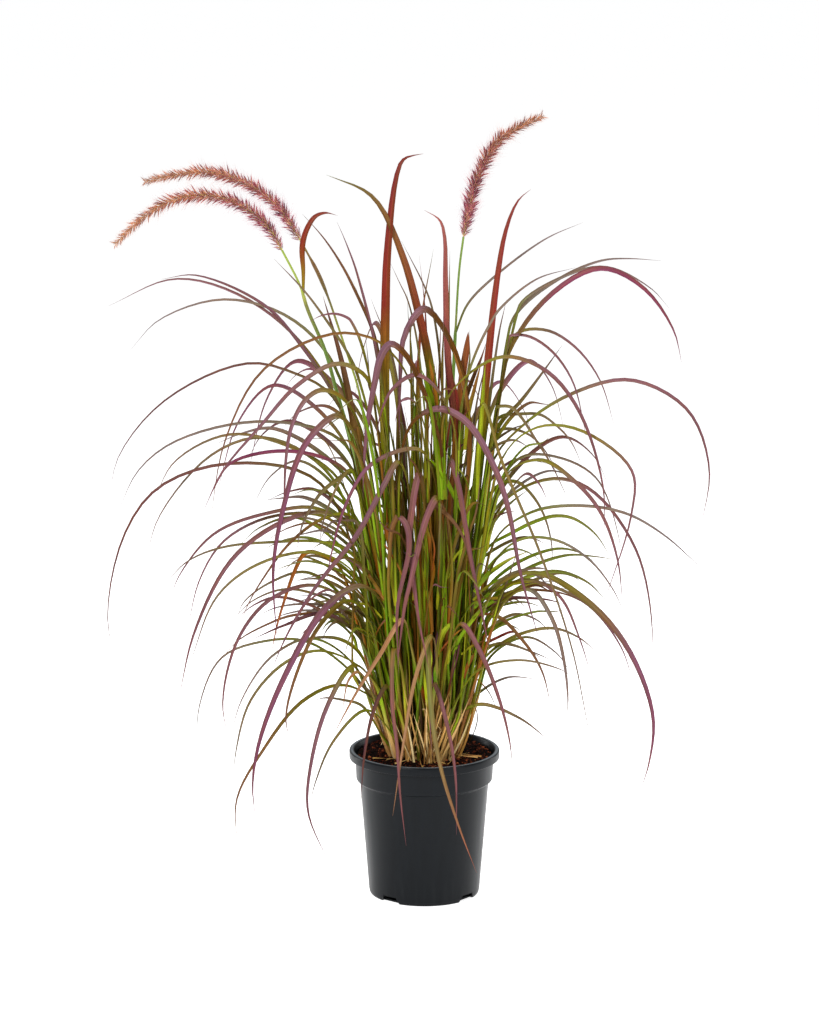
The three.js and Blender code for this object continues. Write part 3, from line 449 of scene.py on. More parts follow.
# %% Upright leaves in the middle
MIDDLE_BLADES = drawn(
    "burgundy 18 85 85 -12 -14 -12 -50 500 -60 690 -59 888 -56 960 -43 1068 -32 1092 -2 1099",
    "rust 18 75 70 -22 -22 -12 10 500 17 683 8 780 -11 873 -36 960 -80 1040 -147 1072",
    "brick 16 85 85 -28 -30 -20 33 500 44 683 33 790 29 917 28 980 21 1004 -1 1018",
    "scarlet 15 85 85 -22 -24 -38 76 500 82 683 94 815 105 917 117 990 134 1032 152 1048",
    "arch 18 80 58 -45 -62 -75 54 500 61 718 37 824 -2 875 -30 836 -36 760 -37 683",
    "orange 14 85 85 -35 -40 -44 40 594 47 683 53 749 57 786 62 821 63 842",
    "bronze 5 70 75 -32 -30 -25 -56 683 -65 793 -76 844 -95 889 -118 934 -148 979 -180 1015",
    "mauve 6 70 70 -40 -35 -28 -59 720 -72 820 -82 866 -92 905 -102 940 -115 974 -128 1002",
    "olive 4 70 70 -55 -50 -48 1 698 -4 759 -12 830 -25 888 -37 914 -50 943",
    "olive 5 70 70 -45 -44 -42 28 698 22 786 17 837 8 884 -5 917 -18 943 -34 974",
    "red 9 80 80 -30 -34 -34 55 534 50 627 50 683 47 734 40 783 33 815",
    "lime 6 75 75 -44 -46 -42 -23 504 -20 609 -17 698 -18 742 -21 777",
    "dusky 10 80 75 -14 -16 -16 -30 482 -30 564 -29 653 -31 712 -40 764",
    "lime 8 80 80 -30 -34 -36 -49 459 -52 564 -53 653 -57 727 -65 793",
    "olive 7 70 70 -30 -34 -40 55 504 63 609 71 698 78 749 92 809",
    "green 9 75 80 -36 -40 -38 8 444 5 534 -1 624 -8 698 -10 749",
    "bronze 8 80 75 -20 -26 -30 -10 308 -7 368 -5 429 1 504 11 564",
    "green 8 60 80 -26 -30 -30 29 308 32 384 36 459 37 534 49 609",
    "green 4 70 75 -44 -44 -42 -18 683 -17 771 -20 822 -24 862 -25 902",
    "olive 6 70 75 -24 -26 -30 87 668 95 742 102 800 109 847 118 888",
    "bronze 9 75 80 -20 -22 -26 49 683 60 742 72 778 82 803 89 826",
)
print("upright drawn leaves:", len(MIDDLE_BLADES))


# %% Leaves that come forwards
FRONT_BLADES = drawn(
    "arch 15 65 50 -88 -104 -95 24 640 14 700 -4 762 -24 813 -42 826 -62 800 -80 727 -88 653 -90 594",
    "mauve 9 60 65 -105 -120 -105 47 668 24 747 -12 779 -45 760 -62 728 -72 680",
    "arch 12 60 65 -98 -108 -125 -38 640 -12 714 18 730 60 711 97 653 121 587 141 482 170 381",
    "mauve 9 50 70 -80 -92 -120 -50 600 -76 764 -124 795 -184 764 -237 705 -296 635 -321 582",
    "plum 11 50 70 -88 -115 -135 -83 624 -111 705 -130 718 -175 675 -207 579 -222 490 -217 384",
    "plum 8 45 60 -100 -110 -120 25 560 -2 664 -26 669 -81 644 -115 587 -135 520 -146 459",
    "mauve 10 45 60 -95 -115 -150 -15 560 -38 650 -59 616 -99 541 -161 462 -206 384 -228 330",
    "rose 12 12 12 -98 -118 -140 5 540 -7 634 -14 609 -17 586 -21 558 -23 527 -18 489 -13 447 -7 405 1 368 "
    "8 335",
    "rose 14 55 50 -95 -124 -152 40 470 31 572 17 596 6 578 -5 543 -14 503 -21 471 -29 438 -36 381 -40 345",
    "rose 11 15 15 -92 -122 -150 -54 444 -52 504 -49 549 -40 568 -30 562 -23 543 -23 516 -30 483 -38 448 "
    "-41 411 -39 368 -38 330",
    "rose 11 58 58 -90 -110 -135 30 550 38 652 48 624 60 556 72 486 89 402 97 358",
    "bronze 10 70 75 -92 -105 -115 -12 490 5 585 30 575 56 540 70 482",
    "bronze 16 80 80 -34 -38 -45 -68 504 -80 579 -101 694 -121 800 -147 894",
    "olive 4 60 65 -70 -60 -50 -77 698 -91 764 -113 812 -145 862 -177 905 -219 949",
    "mauve 5 40 50 -80 -82 -85 -71 734 -85 828 -98 850 -114 863 -131 868 -150 865 -167 856",
    "mauve 5 35 55 -40 -75 -115 -95 640 -129 742 -180 822 -231 880 -329 924 -380 918",
    "olive 4 35 55 -38 -75 -125 -95 540 -130 630 -219 681 -290 690 -365 650 -395 594",
    "wine 8 40 70 -42 -80 -125 -87 560 -116 638 -197 666 -282 649 -305 616 -322 579",
    "bronze 6 40 60 -95 -120 -135 5 620 -36 803 -118 840 -231 789 -290 683 -314 558",
    "grey 4 35 55 -92 -92 -95 50 720 66 807 95 859 159 917 217 935",
    "mauve 6 40 60 -65 -105 -150 103 640 161 700 226 697 302 638 302 571 261 432",
    "mauve 8 40 60 -100 -102 -125 22 730 73 786 119 805 178 783 225 724 260 616 263 541",
    "mauve 8 40 60 -62 -95 -140 110 621 168 653 219 621 258 574 283 504 291 437",
    "plum 11 45 65 -60 -118 -165 89 446 159 485 238 443 299 372 338 269 333 196 320 152",
    "grey 8 45 55 -75 -120 -150 111 434 155 459 187 417 204 361 212 293 210 262",
    "olive 6 28 40 -75 -125 -165 60 560 84 738 110 656 169 515 218 368 237 277 251 206",
    "mauve 4 35 55 -55 -85 -110 111 457 155 474 199 449 229 384 246 329",
    "olive 6 40 60 -45 -75 -135 -80 479 -130 526 -232 530 -300 522 -349 501 -384 464",
    "mauve 9 40 70 -50 -95 -150 -80 517 -145 574 -211 559 -283 504 -339 394 -363 293",
    "olive 6 40 60 -60 -110 -160 -88 464 -154 514 -241 499 -305 449 -348 341",
    "mauve 5 40 60 -55 -105 -150 -95 419 -160 466 -228 444 -275 384 -298 290 -290 232",
    "dusky 8 45 70 -65 -115 -170 -88 374 -147 423 -206 406 -255 384",
    "grey 3 35 55 -50 -105 -160 -96 336 -165 386 -225 359 -270 293 -287 235",
    "olive 6 40 60 -55 -120 -185 -73 321 -150 367 -206 349 -258 290 -280 209 -282 178",
    "plum 12 45 70 -70 -140 -200 -48 411 -92 465 -143 435 -202 338 -243 235 -255 165 -251 109",
    "bronze 8 45 60 -75 -130 -175 -73 396 -112 443 -154 406 -188 335 -205 265 -198 229",
    "bronze 7 40 60 -45 -120 -200 -48 265 -118 315 -180 291 -241 213 -279 140 -278 65",
    "mauve 9 45 65 -65 -150 -215 -69 310 -105 345 -144 284 -169 193 -173 120 -141 40",
    "olive 6 40 60 -50 -125 -180 -44 232 -87 277 -136 228 -162 166 -170 131",
    "straw 9 60 63 -90 -125 -150 -20 370 -33 414 -66 361 -100 305 -137 235",
    "dusky 8 40 60 -65 -118 -150 -42 285 -56 314 -76 275 -90 201 -94 137",
    "rose 8 15 20 -80 -150 -175 -30 320 -45 372 -48 290 -41 225 -36 148 -27 69",
    "straw 8 42 42 -85 -140 -165 18 340 10 390 -14 325 -29 240 -47 115",
    "dun 10 40 40 -82 -148 -200 -2 330 4 390 9 293 22 200 48 109 78 27",
    "rose 8 30 30 -70 -132 -155 5 262 14 318 33 258 46 180 48 86",
    "olive 6 40 55 -60 -100 -130 45 283 82 339 141 353 196 341 219 329",
    "olive 5 35 55 -35 -60 -85 45 262 82 286 141 265 187 229",
    "rose 9 55 60 -85 -110 -140 37 374 55 408 83 365 111 293 126 232 131 188",
    "bronze 5 40 55 -40 -65 -85 82 390 104 420 148 379 174 335 187 282",
    "lime 8 70 75 -62 -74 -70 63 594 49 631 34 650 22 671 8 698",
    "olive 9 70 70 -36 -45 -60 -54 270 -69 335 -93 384 -118 423 -151 462",
    "green 12 75 75 -44 -48 -55 -57 293 -70 346 -87 392 -99 441 -111 489",
    "lime 6 70 70 -50 -58 -60 -42 308 -50 384 -60 459 -73 534 -94 594",
    "green 7 75 70 -58 -66 -70 -30 293 -29 368 -33 444 -45 527 -61 586",
    "lime 7 75 80 -52 -62 -66 51 262 57 323 63 384 67 459 65 527",
    "green 8 70 60 -50 -58 -62 40 293 35 338 24 376 23 411 33 435",
    "lime 9 60 60 -52 -60 -66 67 368 55 390 46 384 39 365 35 350",
    "olive 5 60 70 -48 -52 -62 73 285 91 365 109 434 127 489 137 522",
    "orange 8 60 75 -40 -62 -90 -117 482 -146 510 -174 515 -189 491 -205 446 -217 405 -226 359",
    "bronze 9 75 80 -60 -66 -68 -5 293 -2 346 -5 399 -11 444 -20 482",
    "plum 7 70 60 -56 -80 -96 28 429 23 420 17 384 11 323 8 262 12 201",
    "dusky 5 50 60 -62 -76 -88 33 335 40 365 51 376 40 323 30 293",
    "mauve 9 55 65 -58 -92 -118 -83 653 -100 715 -118 742 -137 754 -155 755 -175 740 -193 705 -202 656 "
    "-205 594 -208 549",
    "mauve 5 55 60 -86 -95 -100 5 660 -2 712 -11 739 -20 746 -30 743 -37 730 -44 705",
    "olive 8 70 70 -44 -72 -98 -91 594 -106 636 -126 625 -150 606 -164 586 -176 564 -183 542 -187 516",
    "olive 6 70 70 -50 -76 -92 -94 594 -109 638 -122 625 -135 598 -145 572 -151 549 -154 522",
    "bronze 6 60 60 -42 -84 -130 -92 534 -109 570 -126 573 -153 564 -177 548 -205 521 -233 482 -256 444 "
    "-274 402",
    "straw 4 50 60 -60 -84 -96 -72 285 -87 323 -100 335 -112 323 -118 298 -121 268",
    "olive 10 80 80 -52 -58 -62 -51 259 -67 287 -85 308 -97 320 -107 329",
    "olive 4 60 60 -44 -60 -80 -63 236 -93 284 -122 293 -147 296 -166 291",
)
print("drawn leaves that come forwards:", len(FRONT_BLADES))


# %% [markdown]
# Some wide leaves change colour at a place of their own: one is brown up to the top of its arch and
# mauve beyond it, another green, then orange and red. The two places are where the change begins and
# where it is done. One leaf is broken off, so it hardly tapers.

# %% Leaves that change colour
BLUNT_TAPER = 14
for blade, change in [(MIDDLE_BLADES[0], (0.38, 0.55)), (MIDDLE_BLADES[1], (0.36, 0.5)),
                      (MIDDLE_BLADES[3], (0.3, 0.48)), (MIDDLE_BLADES[4], (0.56, 0.68)),
                      (FRONT_BLADES[0], (0.38, 0.48)), (FRONT_BLADES[2], (0.18, 0.28))]:
    blade["change"] = change
MIDDLE_BLADES[5]["taper"] = BLUNT_TAPER
print("places of the first change:", MIDDLE_BLADES[0]["change"])


# %% Leaves on the left and right
LEFT_BLADES = drawn(
    "mauve 7 35 55 4 8 16 -95 600 -131 749 -202 849 -290 905 -366 918 -457 879",
    "grey 4 35 55 3 6 10 -90 600 -130 790 -195 862 -289 889 -384 859 -426 815",
    "dusky 6 35 55 3 12 22 -90 560 -130 742 -195 783 -260 795 -376 742 -445 660 -461 594",
    "grey 4 35 55 8 18 35 -85 540 -117 678 -229 710 -358 683 -417 638 -450 571",
    "olive 4 35 55 4 15 26 -90 490 -138 631 -229 686 -307 663 -387 571 -409 501",
    "dusky 7 40 60 3 8 14 -85 440 -153 620 -280 648 -387 613 -440 540 -466 414 -451 343",
    "mauve 5 35 55 4 6 14 -87 520 -153 580 -229 574 -307 544 -359 482 -374 444",
    "mauve 4 35 55 6 15 25 -85 480 -138 565 -219 570 -292 534 -330 474 -350 391",
    "olive 4 35 55 5 8 12 -85 400 -169 485 -225 471 -266 440 -275 418",
    "grey 3 35 55 5 8 12 -80 300 -169 380 -240 381 -300 356 -333 281 -336 206",
    "olive 6 70 60 3 6 10 -83 444 -107 482 -136 504 -168 510 -195 501",
    "green 6 70 60 2 5 8 -86 534 -109 579 -138 603 -170 609 -197 600",
    "grey 4 60 60 3 6 10 -87 368 -107 424 -139 435 -183 438 -220 432 -249 418",
    "bronze 4 60 60 3 8 14 -84 346 -110 416 -154 424 -198 420 -234 406 -273 384 -299 356",
    "olive 5 60 60 2 5 8 -78 323 -98 367 -122 384 -147 388 -172 384 -196 365",
)
RIGHT_FRONT_BLADES = drawn(
    "wine 11 40 75 -22 -52 -80 88 700 119 803 178 891 253 934 315 906 360 844 372 797",
    "mauve 6 40 60 -22 -42 -55 88 740 114 830 145 836 182 815 215 768 236 683",
    "mauve 8 40 60 -18 -50 -72 88 640 139 700 211 749 298 771 382 727 415 640 404 552",
    "grey 7 40 55 -28 -60 -112 96 524 154 574 220 585 293 574 351 541 410 488",
    "grey 6 40 55 -26 -45 -72 96 490 140 534 191 534 242 504 279 456 294 421",
    "mauve 4 40 55 -24 -48 -80 96 427 162 467 236 440 288 376 309 317",
    "olive 4 35 55 -20 -32 -45 65 330 107 378 163 364 193 350",
    "green 7 70 60 -22 -40 -64 84 512 131 546 168 564 193 570 218 566 250 543 274 506",
    "olive 4 50 60 -24 -44 -66 78 683 96 726 123 732 139 718 161 684 185 646 211 591",
    "olive 5 70 60 -24 -40 -60 70 435 95 458 127 483 169 492 187 486",
    "lime 7 70 70 -20 -30 -40 67 444 90 479 117 501 156 519",
    "olive 6 65 65 -22 -34 -48 78 624 95 664 116 680 133 682 157 668",
    "bronze 6 70 65 -22 -32 -42 75 522 95 562 116 574 136 578",
    "dusky 8 75 75 -18 -34 -50 61 368 87 429 118 446 155 447 184 444 209 436",
    "burgundy 4 60 60 -18 -28 -36 64 335 83 372 107 387 131 396 140 388",
)
RIGHT_BLADES = drawn(
    "grey 4 35 55 2 4 8 100 760 131 873 196 920 261 936 326 905 353 876",
    "mauve 4 35 55 2 4 5 95 730 131 837 175 844 218 819 254 771 276 703",
    "mauve 8 40 55 -2 0 4 96 560 139 609 197 625 248 604 311 516 335 400 332 346",
    "grey 3 35 55 2 3 5 65 285 119 326 166 325",
    "olive 4 60 60 2 4 6 84 683 109 716 141 721 168 720 189 706 212 682 230 644",
    "green 6 70 60 -2 0 2 67 399 95 429 121 438 146 441 177 432",
    "olive 5 60 50 4 6 8 66 594 90 666 126 698 153 708",
    "olive 6 60 60 0 4 8 81 638 94 686 112 698 132 698 157 687 180 660 192 636",
    "olive 5 60 60 0 2 4 61 376 89 448 118 465 155 471 191 465 228 446",
    "olive 4 60 60 0 2 4 61 308 79 361 97 375 114 378 141 372 182 352",
)
RIGHT_BACK_BLADES = drawn(
    "grey 4 35 55 25 50 72 105 800 131 866 196 920 254 945 294 948 340 945",
    "grey 6 40 55 24 42 70 100 590 139 656 197 656 252 624 285 534 288 504",
    "olive 8 60 60 20 30 45 88 640 109 705 139 739 168 778 199 822",
    "grey 3 35 55 28 42 60 90 350 148 388 193 365 218 331",
    "olive 5 60 65 22 34 48 72 564 107 615 133 621 154 604 173 574 186 527 186 482",
    "green 7 70 70 22 28 34 73 504 95 552 122 586 151 609",
    "bronze 5 60 60 20 30 40 64 368 93 436 133 458 169 459 206 453 243 435",
)
print("drawn leaves on the left:", len(LEFT_BLADES))
print("drawn leaves on the right:", len(RIGHT_FRONT_BLADES + RIGHT_BLADES + RIGHT_BACK_BLADES))


# %% [markdown]
# ## The near leaves of the bundle
#
# The front of the bundle is a tangle: dry straws at the foot, green sheaths above them and short
# leaves that cross both. These are drawn as well. A row holds the shade at the foot and at the end,
# the width, and then pairs of distance across and height. They all lie on the rounded front of the
# bundle, so they need no depth of their own.

# %% Near leaves
SHADES = {
    "tan": "#c89c5c", "pale": "#e0c48c", "orange": "#8e5a12", "rust": "#8c4614", "lime": "#94a41a",
    "green": "#74960a", "deep": "#4c7006", "olive": "#8c8a10", "brown": "#7c5018", "dark": "#3c2e06",
    "mauve": "#80544e", "burgundy": "#741e1c",
}
NEAR_LEAVES = [table_row(row) for row in [
    "tan olive 6 -47 207 -51 235 -56 259 -63 284 -70 308",
    "green lime 7 -41 224 -50 270 -59 308 -69 341 -75 361",
    "deep green 6 -36 229 -44 274 -53 316 -60 353",
    "olive lime 6 -50 259 -66 282 -78 298 -93 316 -106 329",
    "dark brown 7 -30 211 -35 235 -39 259 -42 293",
    "olive lime 12 -25 268 -27 290 -30 316 -33 347",
    "tan tan 6 -34 187 -29 214 -22 242 -17 278 -20 308",
    "tan olive 8 1 195 -1 223 -5 250 -11 281 -16 311",
    "tan olive 7 2 201 5 228 9 250 12 264",
    "pale tan 2 -7 274 -1 279 5 273 11 259 12 244",
    "pale tan 4 12 187 8 206 5 222",
    "pale pale 2 -17 220 -11 226 -5 230",
    "pale pale 2 -26 203 -16 211 -8 217 -5 226",
    "tan pale 3 -7 193 1 199 8 207",
    "tan tan 6 26 211 27 235 32 265 36 293 39 314",
    "pale tan 6 32 226 33 259 38 290 42 323",
    "pale pale 2 15 259 24 247 33 232",
    "pale pale 2 15 247 24 238 35 224",
    "orange tan 6 48 195 49 224 52 259 55 293 58 323",
    "olive lime 8 49 235 52 274 55 308 60 346 63 384",
    "tan pale 7 54 223 61 259 67 284 76 308",
    "tan lime 6 57 238 64 274 72 305 79 338 88 376 92 399",
    "pale lime 5 51 247 61 290 72 320 77 347",
    "mauve dark 3 70 293 77 278 79 265 76 250 70 235 64 224",
    "dark brown 6 24 207 21 240 18 270 15 293",
    "brown mauve 8 33 285 38 311 42 338 45 361 48 375",
    "deep deep 8 23 284 20 320 18 346 15 372",
    "deep green 7 27 287 29 323 32 350 35 372",
    "green green 8 -11 287 -14 316 -17 350 -20 384 -23 411",
    "olive green 6 -22 302 -23 346 -26 384 -29 414",
    "orange brown 8 -8 305 -10 338 -10 368 -10 399 -11 426",
    "rust rust 10 4 278 -1 296 -7 320",
    "rust orange 3 17 352 24 367 35 382 49 396 58 402",
    "olive lime 9 20 362 22 379 27 394 35 405 44 412",
    "green lime 7 45 370 52 388 61 402 70 414 80 427 90 436",
    "tan pale 4 -42 201 -48 220 -53 235",
    "pale pale 2 -64 224 -59 232 -50 241",
    "brown dark 6 -16 206 -13 232 -8 259 -8 284",
    "dark olive 6 12 207 14 232 17 256 23 287",
    "brown tan 5 40 211 39 235 40 262 45 293",
    "olive olive 6 55 293 60 384 61 444 62 512",
    "brown brown 5 67 426 65 459 64 486 64 516",
    "green green 8 73 456 83 471 95 485 108 494 122 503 136 510",
    "olive green 5 71 444 84 458 97 468 111 476 124 483",
    "green olive 6 73 432 87 447 102 459 119 465 143 471 164 471",
    "brown olive 5 73 441 87 446 111 447 140 447 169 446",
    "green green 6 70 417 84 430 97 440 111 446 125 450",
    "rust brown 5 75 420 89 423 103 423",
    "rust brown 7 57 326 64 347 72 361 79 372",
    "brown dark 3 63 335 73 328 85 317 94 306 101 293 108 274",
    "green lime 7 61 284 67 308 73 330 77 350",
    "olive green 6 67 308 77 329 83 350 89 368",
    "olive brown 4 54 362 67 373 79 379 91 384",
    "brown mauve 7 -58 444 -70 464 -80 479 -92 492 -107 503 -123 509",
    "olive olive 4 -63 417 -74 430 -89 438 -107 441 -120 438",
    "dark dark 6 -90 399 -101 416 -114 426 -129 426 -145 420",
    "green olive 7 -50 274 -60 308 -70 338 -82 365 -94 387",
    "deep green 7 -47 285 -53 317 -59 341 -66 365",
    "lime lime 8 -42 412 -51 423 -61 432",
    "brown mauve 4 -73 387 -65 404 -57 414 -46 422",
    "olive lime 7 -42 435 -46 466 -49 497 -52 527",
    "green lime 6 -55 436 -60 466 -64 497 -68 522",
    "orange brown 6 -46 423 -55 441 -65 454 -79 462",
    "brown rust 3 -30 474 -41 500 -57 525 -73 549",
    "orange rust 7 -49 522 -55 543 -59 564",
    "orange olive 7 11 396 8 429 2 459 -4 495",
    "orange orange 6 8 444 11 466 14 489 12 512",
    "lime lime 5 42 390 40 436 37 482 33 527 31 572",
    "green green 6 31 406 31 444 30 482 26 522",
    "olive olive 7 -16 444 -14 497 -13 549 -15 594",
    "deep green 7 2 459 4 504 2 546",
    "rust brown 4 11 489 14 522 9 546 5 567",
    "dark dark 8 -32 504 -32 549 -32 594 -30 627",
    "olive lime 4 34 477 40 500 52 518 64 527",
    "dark rust 5 26 435 21 459 20 483 23 510",
    "green green 20 25 594 22 638 18 683 12 720 5 754 -4 786",
    "green lime 7 27 609 28 653 28 698 27 734",
    "orange orange 8 18 724 15 749 11 774 6 803",
    "burgundy burgundy 9 50 668 47 705 47 739 43 771",
    "brown brown 9 66 705 59 745 50 783 41 815",
    "lime lime 7 77 594 78 653 82 705 85 756 88 797",
    "olive brown 7 58 668 63 720 72 759 82 797",
    "green green 8 55 576 41 603 30 625 17 644 4 658",
]]
print("near leaves:", len(NEAR_LEAVES))


# %% [markdown]
# ## The seeded leaves
#
# Between the drawn leaves stand seeded ones. Outside the funnel they arch over in five storeys, from
# short low leaves to long ones that spring from the top of the bundle. Inside it they stand upright.

# %% Storeys and their tones
GOLDEN_PART = 0.618034
STOREYS = [
    dict(collar=(320, 400), out=(70, 120), rise=(50, 95), droop=(40, 90), fall=(5, 60), width=(5, 8)),
    dict(collar=(380, 460), out=(75, 135), rise=(60, 110), droop=(45, 100), fall=(0, 60), width=(5, 8)),
    dict(collar=(440, 530), out=(80, 140), rise=(70, 130), droop=(50, 120), fall=(0, 80), width=(5, 9)),
    dict(collar=(510, 610), out=(85, 150), rise=(90, 160), droop=(60, 130), fall=(10, 120), width=(6, 9)),
    dict(collar=(590, 690), out=(90, 170), rise=(110, 200), droop=(70, 150), fall=(30, 200), width=(6, 10)),
]
LOW_TONES = ["olive", "green", "grey", "bronze", "green", "mauve", "olive"]
HIGH_TONES = ["mauve", "grey", "bronze", "dusky", "plum", "olive", "grey"]
UPRIGHT_TONES = ["bronze", "green", "red", "olive", "rust", "burgundy", "green"]
LOW_STOREYS = 3
print("storeys:", len(STOREYS))


# %% Arching and upright leaves
def around(tuft, index):
    return tuft["from"] + (tuft["to"] - tuft["from"]) * ((index * GOLDEN_PART + 0.5) % 1)


def fanned(foot_radius, z):
    """How far from the middle a shoot with this foot is at a height."""
    return foot_radius * (z - FAN_CENTRE) / (SOIL_TOP - FAN_CENTRE)


def arching_blade(tuft, index):
    level = index % len(STOREYS)
    storey = STOREYS[level]
    azimuth = around(tuft, index)
    sway = min(tuft["to"] - tuft["from"], 40) * numbers.between(-0.4, 0.4)
    foot_radius = mix(OUTERMOST_FOOT, INNERMOST_FOOT, level / (len(STOREYS) - 1))
    collar_z = numbers.between(*storey["collar"])
    collar_radius = fanned(foot_radius, collar_z)
    apex_radius = collar_radius + numbers.between(*storey["out"])
    apex_z = collar_z + numbers.between(*storey["rise"])
    tip_radius = apex_radius + numbers.between(*storey["droop"])
    tip_z = apex_z - numbers.between(*storey["fall"])
    width = numbers.between(*storey["width"])
    turn = (numbers.between(35, 70), numbers.between(40, 80))
    points = [
        polar(collar_radius, azimuth, collar_z),
        polar(mix(collar_radius, apex_radius, 0.4), azimuth + sway * 0.2, mix(collar_z, apex_z, 0.68)),
        polar(apex_radius, azimuth + sway * 0.45, apex_z),
        polar(mix(apex_radius, tip_radius, 0.6), azimuth + sway * 0.75, mix(apex_z, tip_z, 0.34)),
        polar(tip_radius, azimuth + sway, tip_z),
    ]
    tones = LOW_TONES if level < LOW_STOREYS else HIGH_TONES
    return {"tone": tones[index % len(tones)], "width": width, "turn": turn, "points": points}


def upright_blade(tuft, index):
    azimuth = around(tuft, index)
    foot_radius = mix(*MIDDLE_FEET, (index + 0.5) / tuft["seeded"])
    tip_z = numbers.between(560, 960)
    collar_z = tip_z * numbers.between(0.5, 0.62)
    bend_z = collar_z + (tip_z - collar_z) * 0.75
    sway = numbers.between(-25, 25)
    width = numbers.between(5, 11)
    turn = (numbers.between(-80, 80), numbers.between(-80, 80))
    points = [
        polar(fanned(foot_radius, collar_z), azimuth, collar_z),
        polar(fanned(foot_radius, bend_z), azimuth + sway * 0.4, bend_z),
        polar(fanned(foot_radius, tip_z) * numbers.between(1.15, 1.5), azimuth + sway, tip_z),
    ]
    tone = UPRIGHT_TONES[index % len(UPRIGHT_TONES)]
    return {"tone": tone, "width": width, "turn": turn, "points": points}


# %% Tufts
BACK_EDGES = [22, 40, 58, 76, 94, 112, 130, 146, 160]
BACK_LEAVES = 5
slices = [
    ("middle_front_tuft", 194, 350, 1, MIDDLE_BLADES, 3),
    ("middle_left_tuft", 105, 182, 0.88, [], 7),
    ("middle_right_tuft", 20, 105, 1, [], 7),
    ("front_tuft", 194, 340, 0, FRONT_BLADES, 2),
    ("left_tuft", 172, 182, 0, LEFT_BLADES, 2),
    ("right_front_tuft", 340, 354, 0, RIGHT_FRONT_BLADES, 1),
    ("right_tuft", -6, 8, 0, RIGHT_BLADES, 2),
    ("right_back_tuft", 8, 22, 0, RIGHT_BACK_BLADES, 2),
]
for number, (start, end) in enumerate(zip(BACK_EDGES, BACK_EDGES[1:]), 1):
    slices.append((f"back_tuft_{number}", start, end, 0, [], BACK_LEAVES))
KEYS = ("name", "from", "to", "core", "blades", "seeded")
TUFTS = [dict(zip(KEYS, values)) for values in slices]

for tuft in TUFTS:
    grow = upright_blade if tuft["core"] else arching_blade
    tuft["blades"] = tuft["blades"] + [grow(tuft, index) for index in range(tuft["seeded"])]
print("leaves that the model has:", sum(len(tuft["blades"]) for tuft in TUFTS))


# %% [markdown]
# ## More leaves and shoots
#
# A real shoot bears several leaves, each wrapping the shoot with its sheath before it bends away. The
# model has one leaf on each. Here some shoots get one more, lower down, and more shoots stand among
# them, which fills the bundle with the short leaves that hide its middle. All stay in the slice of
# their tuft.

# %% Side leaves
SIDE_LEAF_CHANCES = {"core": [1], "outer": [0, 0, 1], "left_tuft": [0, 1], "right_tuft": [0],
                     "right_front_tuft": [0, 0, 0, 1], "right_back_tuft": [0]}
SIDE_LEAF_TURNS = [(40, 60), (55, 75), (30, 60), (70, 85), (-55, -70)]
SHEATH_LENGTH = 24
LOWEST_TIP = 235
LOWEST_SIDE_LEAF = 350
HIGHEST_SIDE_LEAF = 680
SIDE_LEAF_SEED = 7
chance = random.Random(SIDE_LEAF_SEED)


def arch(start, out, rise, droop, fall, sway):
    """Five points of a leaf that leaves its start, climbs outwards, bends over and comes down."""
    radius = math.hypot(start.x, start.y)
    azimuth = math.degrees(math.atan2(start.y, start.x))
    top = start.z + rise
    return [
        start,
        polar(radius + 0.42 * out, azimuth + 0.25 * sway, start.z + 0.6 * rise),
        polar(radius + out, azimuth + 0.55 * sway, top),
        polar(radius + out + 0.55 * droop, azimuth + 0.8 * sway, top - 0.3 * fall),
        polar(radius + out + droop, azimuth + sway, max(top - fall, LOWEST_TIP)),
    ]


def drawn_by_chance(*spans):
    """One seeded number from each span."""
    return [chance.uniform(*span) for span in spans]


def side_leaf(blade, tuft):
    """A leaf that leaves the blade's shoot below its collar."""
    collar = keep_in_slice(blade["points"][0], SHOOT_HALF_WIDTH + BLADE_ROOM, tuft)
    foot = shoot_foot(collar)
    highest = min(max(collar.z, LOWEST_SIDE_LEAF + 40), HIGHEST_SIDE_LEAF)
    z = chance.uniform(LOWEST_SIDE_LEAF, highest)
    part = (z - foot.z) / (collar.z - foot.z)
    start = foot.lerp(collar, part)
    sheath = foot.lerp(collar, max(part - SHEATH_LENGTH / (collar - foot).length, 0))
    height = smoothstep(z, 260, 620)
    from_the_front = math.cos(math.atan2(start.y, start.x) + math.pi / 2)
    sway = chance.uniform(-25, 25)
    if tuft["core"] or from_the_front > chance.uniform(0.3, 0.9):
        shape = drawn_by_chance((8, 40), (80, 240), (5, 50), (-80, 30))
    else:
        size = mix(0.8, 1.2, height) * chance.uniform(0.6, 1.3)
        parts = drawn_by_chance((0.7, 1.2), (0.6, 1.2), (0.5, 1.2), (-0.3, 1.6))
        shape = [full * size * part for full, part in zip((100, 85, 70, 26), parts)]
    tones = LOW_TONES if chance.random() > height * 0.8 else HIGH_TONES
    return {
        "tone": chance.choice(tones),
        "width": chance.uniform(4.5, 7) + 2 * height,
        "turn": chance.choice(SIDE_LEAF_TURNS),
        "points": arch(start, *shape, sway),
        "sheath": sheath,
    }


# %% More shoots
EXTRA_SHOOTS = {"middle_front_tuft": 18, "middle_left_tuft": 4, "middle_right_tuft": 4, "front_tuft": 16}
LEANING_SHOOT = 42


